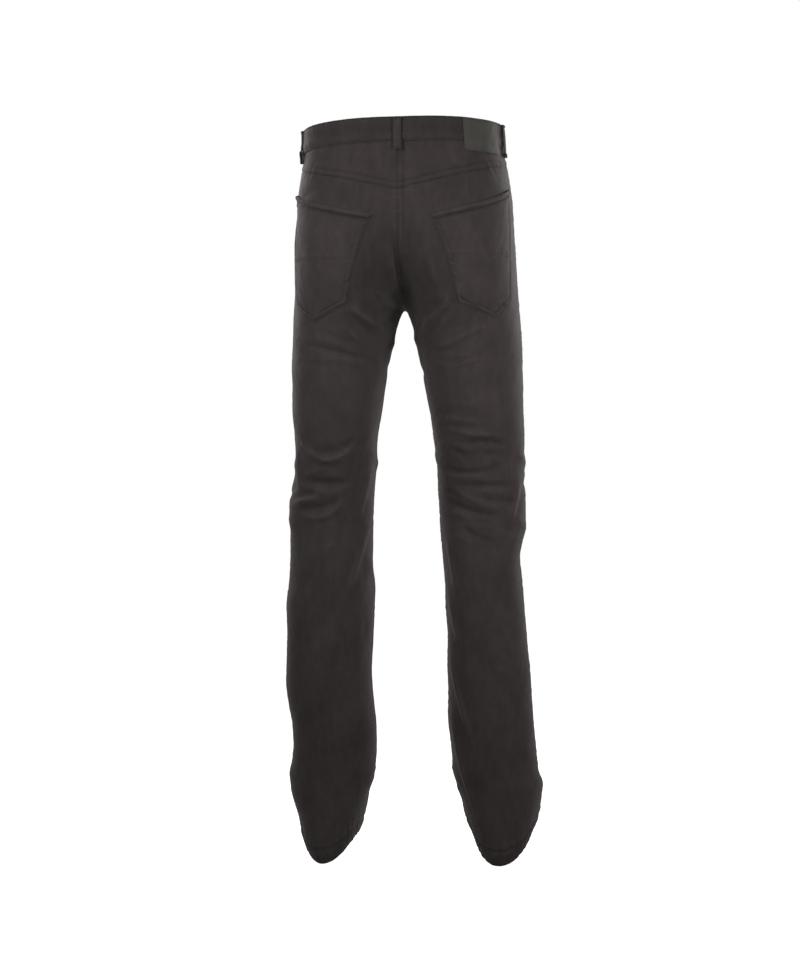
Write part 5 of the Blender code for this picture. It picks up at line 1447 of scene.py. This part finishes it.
def sew_pocket(side):
    """A pocket and its rows of stitches."""
    outline = np.array(POCKET_CORNERS[side])
    wide = outline[-1][0] - outline[0][0]
    deep = np.mean([outline[0][1] - outline[1][1], outline[-1][1] - outline[3][1]])
    edge, mouth_steps = np.array(POCKET_EDGE_STEPS), np.array(POCKET_MOUTH_STEPS)
    across = stations(wide, edge, edge, POCKET_SPACING) / wide
    down = stations(deep, mouth_steps, edge, POCKET_SPACING) / deep
    across, down = np.meshgrid(across, down)
    flat = pocket_flat(side, across, down)
    points, normals, tone_and_painted_light, sewn, mouth = pocket_surface(side, flat, across)
    rim = POCKET_RIM * ease((POCKET_RIM_END - mouth) / POCKET_RIM_EASE)
    share = rounding(np.minimum(sewn, mouth), CLOTH)
    thickness = CLOTH + rim - POCKET_THIN * POCKET_PRESS * ease(1 - sewn / POCKET_PRESS_WIDTH)
    outer, inner = two_sides(points, normals, thickness, share)
    name = f"pocket_{SIDES[side]}"
    piece = cloth_piece(name + "_cloth", outer, inner, flat, tone_and_painted_light, knit)
    dress(piece, name)
    lines = []
    inward = np.mean(outline, axis=0) - outline
    inward /= np.linalg.norm(inward, axis=1)[:, None]
    for distance in POCKET_STITCHES:
        corners = outline + inward * distance * 1.25
        path = np.vstack([np.linspace(a, b, 90) for a, b in zip(corners, corners[1:])])
        lines.append(pocket_line(side, path))
    fold = pocket_mouth(side, np.linspace(0.015, 0.985, 160)) - np.array((0, MOUTH_GROOVE))
    lines.append(pocket_line(side, fold))
    sew(f"pocket_stitches_{SIDES[side]}", lines)


for body_side in SIDES:
    sew_pocket(body_side)

# ----------------------------------------------------------------------------------------------
# The belt loops. Narrow folded strips of the knit, stitched along both edges, standing off the
# waistband between two ends that are turned under and tacked down by close zigzag.
LOOP_WIDTH = 0.0125
LOOP_CLOTH = 0.0018
LOOP_BELOW = 0.012         # how far a loop reaches below the waistband
LOOP_LENGTH = BAND_HEIGHT + LOOP_BELOW
LOOP_REST = 0.0014         # where its ends lie, above the panels
LOOP_TOP_INSET = 0.0008    # its upper end stops short of the waistband's edge
LOOP_FLAT_FROM = 0.94      # it lies flat from this share of its length down
LOOP_SPRING = 0.7          # exponent of its arch: 1 is a plain sine, less is boxier
LOOP_SIDE_SET = 0.024      # distance of the side loops behind the side seam
LOOPS = {                  # name: (side, turn or None for the side loops, stand-off at the middle)
    "belt_loop_back": (LEFT, 2.0, 0.0006),
    "belt_loop_side_left": (LEFT, None, 0.0),
    "belt_loop_side_right": (RIGHT, None, 0.0016),
    "belt_loop_front_left": (LEFT, 0.42, 0.0018),
    "belt_loop_front_right": (RIGHT, 0.42, 0.0020),
}
LOOP_EDGE_STEPS = (0.0, 0.0003, 0.0008, 0.0015, 0.0024)
LOOP_COLUMNS = 13
LOOP_FINE_ROWS = 48
LOOP_STITCH = 0.0018       # its two rows of stitches lie this far inside its edges
LOOP_STITCH_SINK, LOOP_STITCH_WIDTH = 0.00028, 0.0008
LOOP_FOLD_LIFT = 0.0014    # its folded ends are thicker by this much
LOOP_HEAD, LOOP_HEAD_EASE, LOOP_FOOT_EASE = 0.07, 0.03, 0.04     # shares of the way down it
LOOP_CROWN, LOOP_CROWN_WIDTH = 0.0003, 0.003  # it is a little fuller along its middle
# the loop's colour is lighter all over, with painted highlight on its edges and painted shade along
# its rows of stitches
LOOP_LIGHTER, LOOP_EDGE_HIGHLIGHT, LOOP_EDGE_MARK, LOOP_STITCH_SHADE = 0.2, 0.3, 0.0007, 0.5
LOOP_LINE, TACK_LINE = 60, 24          # points along a row of its stitches, and along a tack
# A loop's folded foot begins at foot, a share of the way down it. sag says how much further out
# than its arch it lies, and reach how near the waist its folded ends come. Each is given as
# shares of the way down it, and the metres there. Two loops sit otherwise than the rest.
LOOP_FORM = {
    "foot": 0.86,
    "sag": ((0.0, 1.0), (0.0, 0.0)),
    "reach": ((0.0, 0.08, 0.5, 0.76, 0.84, 1.0), (0.0011, 0.0012, 0.0023, 0.0023, 0.0004, 0.0003)),
}
LOOP_FORMS = {
    "belt_loop_back": {
        "sag": ((0.0, 0.08, 0.5, 0.62, 0.72, 0.85, 1.0),
                (-0.0006, 0.0, 0.0, -0.0003, -0.0007, -0.0009, -0.0010)),
        "reach": ((0.0, 0.08, 0.5, 0.76, 0.84, 1.0),
                  (0.0009, 0.0011, 0.0023, 0.0023, 0.0011, 0.0010))},
    "belt_loop_side_left": {
        "foot": 0.62,
        "sag": ((0.0, 0.03, 0.08, 0.20, 0.40, 0.50, 0.58, 0.62, 0.66, 0.74, 0.85, 1.0),
                (-0.0012, -0.0010, 0.0, -0.0001, 0.0001, 0.0009, 0.0008, 0.0017, 0.0016, 0.0013,
                 0.0002, -0.0008)),
        "reach": ((0.0, 0.08, 0.62, 0.65, 0.70, 0.727, 0.75, 1.0),
                  (0.0003, 0.0006, 0.0021, 0.0016, 0.0011, 0.0010, -0.0003, -0.0003))},
}
TACKS = [place / LOOP_LENGTH for place in (
    0.0016, 0.0034, LOOP_LENGTH - 0.0030, LOOP_LENGTH - 0.0014)]      # shares of the way down it
# painted shade along the tacks
TACK_SINK, TACK_SINK_WIDTH, TACK_SHADE, TACK_MARK = 0.00040, 0.0008, 1.5, 0.0007
TACK_SIZES = {"Pitch": 0.0007, "Turned": math.pi / 2, "Slack": 0.25, "Stitch Length": 0.0019}


def loop_surface(name, across, down):
    """A loop's outside, from distances across it and shares of the way down it."""
    side, turn, standoff = LOOPS[name]
    form = {**LOOP_FORM, **LOOP_FORMS.get(name, {})}
    if turn is None:
        turn = 1 + LOOP_SIDE_SET / half_width(side, "back", 0.0)
    width = half_width(side, "back" if turn > 1 else "front", 0.0)
    heights = band_middle(np.array(turn)) + BAND_HEIGHT / 2 - LOOP_TOP_INSET - LOOP_LENGTH * down
    mirrored = (turn == 2.0) & (across > 0)
    turns = np.clip(turn + np.where(mirrored, -across, across) / width, 0, 2)
    flip = np.where(mirrored[..., None], np.array((-1.0, 1.0, 1.0)), 1.0)
    points, normals = bare(side, turns, heights) * flip, facing(bare, side, turns, heights) * flip
    bulge = standoff * np.sin(np.clip(down / LOOP_FLAT_FROM, 0, 1) * math.pi) ** LOOP_SPRING
    edge = LOOP_WIDTH / 2 - np.abs(across)
    lift = LOOP_REST + LOOP_CLOTH + bulge + LOOP_CROWN * bump(across, LOOP_CROWN_WIDTH)
    lift = lift - LOOP_STITCH_SINK * bump(edge - LOOP_STITCH, LOOP_STITCH_WIDTH)
    folded = np.maximum(ease((down - form["foot"]) / LOOP_FOOT_EASE),
                        ease((LOOP_HEAD - down) / LOOP_HEAD_EASE))
    lift += LOOP_FOLD_LIFT * folded + np.interp(down, *form["sag"])
    thickness = LOOP_CLOTH + (lift - np.interp(down, *form["reach"]) - LOOP_CLOTH) * folded
    # lighter all over; painted highlight on the edges, painted shade along the stitches and tacks
    tone_and_painted_light = LOOP_LIGHTER + LOOP_EDGE_HIGHLIGHT * bump(edge, LOOP_EDGE_MARK)
    tone_and_painted_light = tone_and_painted_light - LOOP_STITCH_SHADE * bump(edge - LOOP_STITCH, LOOP_STITCH_WIDTH)
    for place in TACKS:
        from_tack = (down - place) * LOOP_LENGTH
        lift -= TACK_SINK * bump(from_tack, TACK_SINK_WIDTH)
        tone_and_painted_light = tone_and_painted_light - TACK_SHADE * bump(from_tack, TACK_MARK)
    return points + normals * lift[..., None], normals, tone_and_painted_light, edge, thickness


def sew_loop(name):
    """A belt loop with its stitches."""
    steps = np.array(LOOP_EDGE_STEPS)
    across = stations(LOOP_WIDTH, steps, steps, LOOP_WIDTH / LOOP_COLUMNS) - LOOP_WIDTH / 2
    down = stations(LOOP_LENGTH, steps, steps, LOOP_LENGTH / LOOP_FINE_ROWS) / LOOP_LENGTH
    across, down = np.meshgrid(across, down)
    points, normals, tone_and_painted_light, edge, thickness = loop_surface(name, across, down)
    ends = np.minimum(down, 1 - down) * LOOP_LENGTH
    share = 1 - (1 - rounding(np.minimum(edge, ends), LOOP_CLOTH)) * LOOP_CLOTH / thickness
    outer, inner = two_sides(points, normals, thickness, share)
    flat = np.stack([across, -down * LOOP_LENGTH], -1)
    piece = cloth_piece(name + "_cloth", outer, inner, flat, tone_and_painted_light, knit)
    dress(piece, name)
    row = LOOP_WIDTH / 2 - LOOP_STITCH
    down = np.linspace(0.03, 0.97, LOOP_LINE)
    across = np.linspace(-0.44, 0.44, TACK_LINE) * LOOP_WIDTH
    sew(name + "_stitches", [sewing_line(loop_surface(name, np.full(LOOP_LINE, place), down))
                             for place in (-row, row)])
    sew(name + "_tacks", [sewing_line(loop_surface(name, across, np.full(TACK_LINE, place)), 0.5)
                          for place in TACKS], **TACK_SIZES)


for loop_name in LOOPS:
    sew_loop(loop_name)

# ----------------------------------------------------------------------------------------------
# The patch. One piece of soft, rubbery leatherette with rounded lower corners, sewn flat over
# the waistband and the yoke to the right of the centre back, and left bare.
PATCH_TOP_INSET = 0.0012
PATCH_HEIGHT = 0.0475
PATCH_NEAR, PATCH_FAR = 0.0475, 0.1185     # its edges' distances behind the right side seam
PATCH_THICKNESS = 0.0014
PATCH_LIFT = 0.0014
PATCH_CORNER = 0.0045      # radius of its lower corners
PATCH_EDGE_STEPS = (0.0, 0.0002, 0.0006, 0.0012, 0.0020, 0.0030, 0.0042)
PATCH_SPACING = 0.0022
PATCH_STITCH, PATCH_STITCH_CORNER = 0.0022, 0.0042    # how far in the stitches run, and turn
PATCH_STITCH_SIZES = {"Pitch": 0.0034, "Stitch Length": 0.0027}
PATCH_LONG = PATCH_FAR - PATCH_NEAR
PATCH_STEP, PATCH_STEP_UP, PATCH_STEP_LONG = 0.0007, 0.004, 0.006     # down at the waistband's foot
PATCH_STITCH_SINK, PATCH_STITCH_WIDTH = 0.00030, 0.0009
PATCH_UNEVEN, PATCH_WAVE, PATCH_SEED = 0.00012, 0.02, 31


def patch_surface(along, up):
    """The patch's outside, from places on it: along from its side edge, and up from its foot."""
    turns = 1 + (PATCH_NEAR + along) / half_width(RIGHT, "back", 0.0)
    heights = band_middle(turns) + BAND_HEIGHT / 2 - PATCH_TOP_INSET - PATCH_HEIGHT + up
    points, normals = bare(RIGHT, turns, heights), facing(bare, RIGHT, turns, heights)
    edge = np.minimum.reduce([along, PATCH_LONG - along, up, PATCH_HEIGHT - up])
    band_foot = PATCH_HEIGHT + PATCH_TOP_INSET - BAND_HEIGHT
    on_band = ease((up - band_foot + PATCH_STEP_UP) / PATCH_STEP_LONG)
    lift = PATCH_THICKNESS + PATCH_LIFT - PATCH_STEP * (1 - on_band)
    lift = lift - PATCH_STITCH_SINK * bump(edge - PATCH_STITCH, PATCH_STITCH_WIDTH)
    lift += PATCH_UNEVEN * uneven(points, PATCH_WAVE, PATCH_SEED)
    return points + normals * lift[..., None], normals


leatherette, hide_tree, hide_shader, hide_place = plain_material(
    "leatherette", (0.030, 0.028, 0.024), 0.75)
pebbles = add_node(hide_tree, "ShaderNodeTexVoronoi", {"feature": "SMOOTH_F1"},
                   {"Vector": hide_place, "Scale": 1300.0, "Smoothness": 0.6}).outputs["Distance"]
mottle = noise(hide_tree, hide_place, 60.0, Detail=4.0)
scuffs = noise(hide_tree, hide_place, 420.0, Detail=3.0)
hide_tone = weighed(hide_tree, ((scuffs, 0.35), (mottle, 0.7)))
hide_relief = weighed(hide_tree, ((scuffs, 0.5), (pebbles, 1.0)))
feed(hide_tree, hide_shader, {
    "Base Color": mixed(hide_tree, hide_tone, (0.020, 0.0185, 0.0155), (0.046, 0.0425, 0.0365)),
    "Roughness": weighed(hide_tree, ((scuffs, 0.20),), start=0.66),
    "Specular IOR Level": 0.3,
    "Normal": raised(hide_tree, 0.35, 0.0003, hide_relief)})

patch_steps = np.array(PATCH_EDGE_STEPS)
patch_up = stations(PATCH_HEIGHT, patch_steps, patch_steps, PATCH_SPACING)[:, None]
patch_share = stations(PATCH_LONG, patch_steps, patch_steps, PATCH_SPACING) / PATCH_LONG
into = np.clip(PATCH_CORNER - patch_up, 0, None)
inset = PATCH_CORNER - np.sqrt(PATCH_CORNER ** 2 - into ** 2)
patch_along = inset + (PATCH_LONG - 2 * inset) * patch_share[None, :]
patch_up = np.broadcast_to(patch_up, patch_along.shape)
patch_points, patch_normals = patch_surface(patch_along, patch_up)
patch_rim = np.minimum.reduce([patch_along - inset, PATCH_LONG - inset - patch_along,
                               patch_up, PATCH_HEIGHT - patch_up])
patch_outer, patch_inner = two_sides(patch_points, patch_normals, PATCH_THICKNESS,
                                     rounding(patch_rim, PATCH_THICKNESS))
patch = cloth_piece("patch_leatherette", patch_outer, patch_inner,
                    np.stack([patch_along, patch_up], -1), np.zeros(patch_along.shape), leatherette)
dress(patch, "patch")

near, turning = PATCH_STITCH, PATCH_STITCH_CORNER
patch_corners = np.array([
    (near, PATCH_HEIGHT - near), (near, turning), (turning, near), (PATCH_LONG - turning, near),
    (PATCH_LONG - near, turning), (PATCH_LONG - near, PATCH_HEIGHT - near),
    (near, PATCH_HEIGHT - near)])
patch_path = np.vstack([np.linspace(a, b, 60) for a, b in zip(patch_corners, patch_corners[1:])])
sew("patch_stitches", [sewing_line(patch_surface(*patch_path.T))], **PATCH_STITCH_SIZES)

# ----------------------------------------------------------------------------------------------
# The closure, hidden from the camera. A plain shank button of dark brushed metal through the
# lapped end, its buttonhole worked in close stitches, and the fly's curved double row.
BUTTON_RADIUS = 0.0085
BUTTON_DEPTH = 0.0032
BUTTON_STAND = 0.0013      # the shank holds it this far off the band, which slants behind it
BUTTON_PROFILE = (         # radius and depth outwards from the back, as shares of the whole
    (0.0, 0.0), (0.62, 0.0), (0.90, 0.10), (1.0, 0.32), (1.0, 0.58), (0.93, 0.84), (0.80, 0.97),
    (0.70, 0.99), (0.63, 0.90), (0.55, 0.86), (0.30, 0.90), (0.0, 0.93))
SHANK_PROFILE = ((0.0, -1.35), (0.24, -1.35), (0.24, 0.05), (0.0, 0.05))
BUTTON_ROUND, BUTTON_SHARP = 64, 40    # faces round it; its edges past this angle stay sharp

gunmetal, metal_tree, metal_shader, metal_place = plain_material(
    "gunmetal", (0.10, 0.095, 0.09), 0.38, metallic=1.0)
tarnish = noise(metal_tree, metal_place, 500.0, Detail=5.0)
feed(metal_tree, metal_shader, {
    "Base Color": mixed(metal_tree, tarnish, (0.060, 0.057, 0.054), (0.150, 0.143, 0.135)),
    "Roughness": weighed(metal_tree, ((tarnish, 0.3),), start=0.25)})


def turned(profile, face):
    """Vertices and faces of a shape turned about the axis that points to the front."""
    points, faces = [], []
    for radius, depth in profile:
        for k in range(BUTTON_ROUND):
            angle = 2 * math.pi * k / BUTTON_ROUND
            reach = max(radius, 1e-4) * BUTTON_RADIUS
            points.append((reach * math.cos(angle), face - depth * BUTTON_DEPTH,
                           BAND_MIDDLE["front"] + reach * math.sin(angle)))
    for row in range(len(profile) - 1):
        for k in range(BUTTON_ROUND):
            a, b = row * BUTTON_ROUND + k, row * BUTTON_ROUND + (k + 1) % BUTTON_ROUND
            faces.append((a, b, b + BUTTON_ROUND, a + BUTTON_ROUND))
    faces.append(tuple(range(BUTTON_ROUND - 1, -1, -1)))
    faces.append(tuple(range((len(profile) - 1) * BUTTON_ROUND, len(profile) * BUTTON_ROUND)))
    return points, faces


button_face = bare(LEFT, np.array(0.0), np.array(BAND_MIDDLE["front"]))[1]
button_face -= BAND_PROUD + BAND_LAP_LIFT + BUTTON_STAND
for part_name, part_profile in (("button", BUTTON_PROFILE), ("button_shank", SHANK_PROFILE)):
    part_points, part_faces = turned(part_profile, button_face)
    part_points = np.array(part_points)
    button = solid_piece(part_name, part_points, part_faces, part_points[:, (0, 2)],
                         np.zeros(len(part_points)), gunmetal)
    button.data.set_sharp_from_angle(angle=math.radians(BUTTON_SHARP))
    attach(button, "root")
    if part_name == "button":
        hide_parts("waist_button")

HOLE_LONG, HOLE_HALF_WIDE = 0.021, 0.0011
HOLE_BACK = 0.0085         # it reaches this far to the wearer's left of the centre front
HOLE_SQUARENESS = 0.35     # exponent of its rounded ends: 1 is an ellipse
HOLE_SIZES = {"Pitch": 0.00055, "Turned": math.pi / 2, "Slack": 0.12, "Stitch Length": 0.0021}
hole_angle = np.linspace(0, 2 * math.pi, 90)
hole_along = HOLE_BACK - HOLE_LONG / 2 + HOLE_LONG / 2 * np.cos(hole_angle)
hole_up = np.sign(np.sin(hole_angle)) * np.abs(np.sin(hole_angle)) ** HOLE_SQUARENESS
hole = band_surface(LEFT, hole_along / band_width(LEFT, "front"),
                    BAND_MIDDLE["front"] + HOLE_HALF_WIDE * hole_up)
sew("buttonhole_stitches", [sewing_line(hole, 1.0)], **HOLE_SIZES)

FLY_WIDE, FLY_DEPTH = 0.034, 0.150     # its rows of stitches, from the waistband down
FLY_TURN = 0.045                       # the rows begin to curve in this far above their end
FLY_ROWS = (0.0, 0.006)                # how far inside the outer row each lies
fly_lines = []
for row_inset in FLY_ROWS:
    fall = np.linspace(0.002, FLY_DEPTH - row_inset, 130)
    bend = np.clip((fall - (FLY_DEPTH - FLY_TURN)) / (FLY_TURN - row_inset), 0, 1)
    away = np.maximum((FLY_WIDE - row_inset) * np.sqrt(1 - bend ** 2), 0.0008)
    level = band_middle(0.0) - BAND_HEIGHT / 2 - fall
    fly_lines.append(panel_line(LEFT, "front", away / half_width(LEFT, "front", level), level))
sew("fly_stitches", fly_lines)
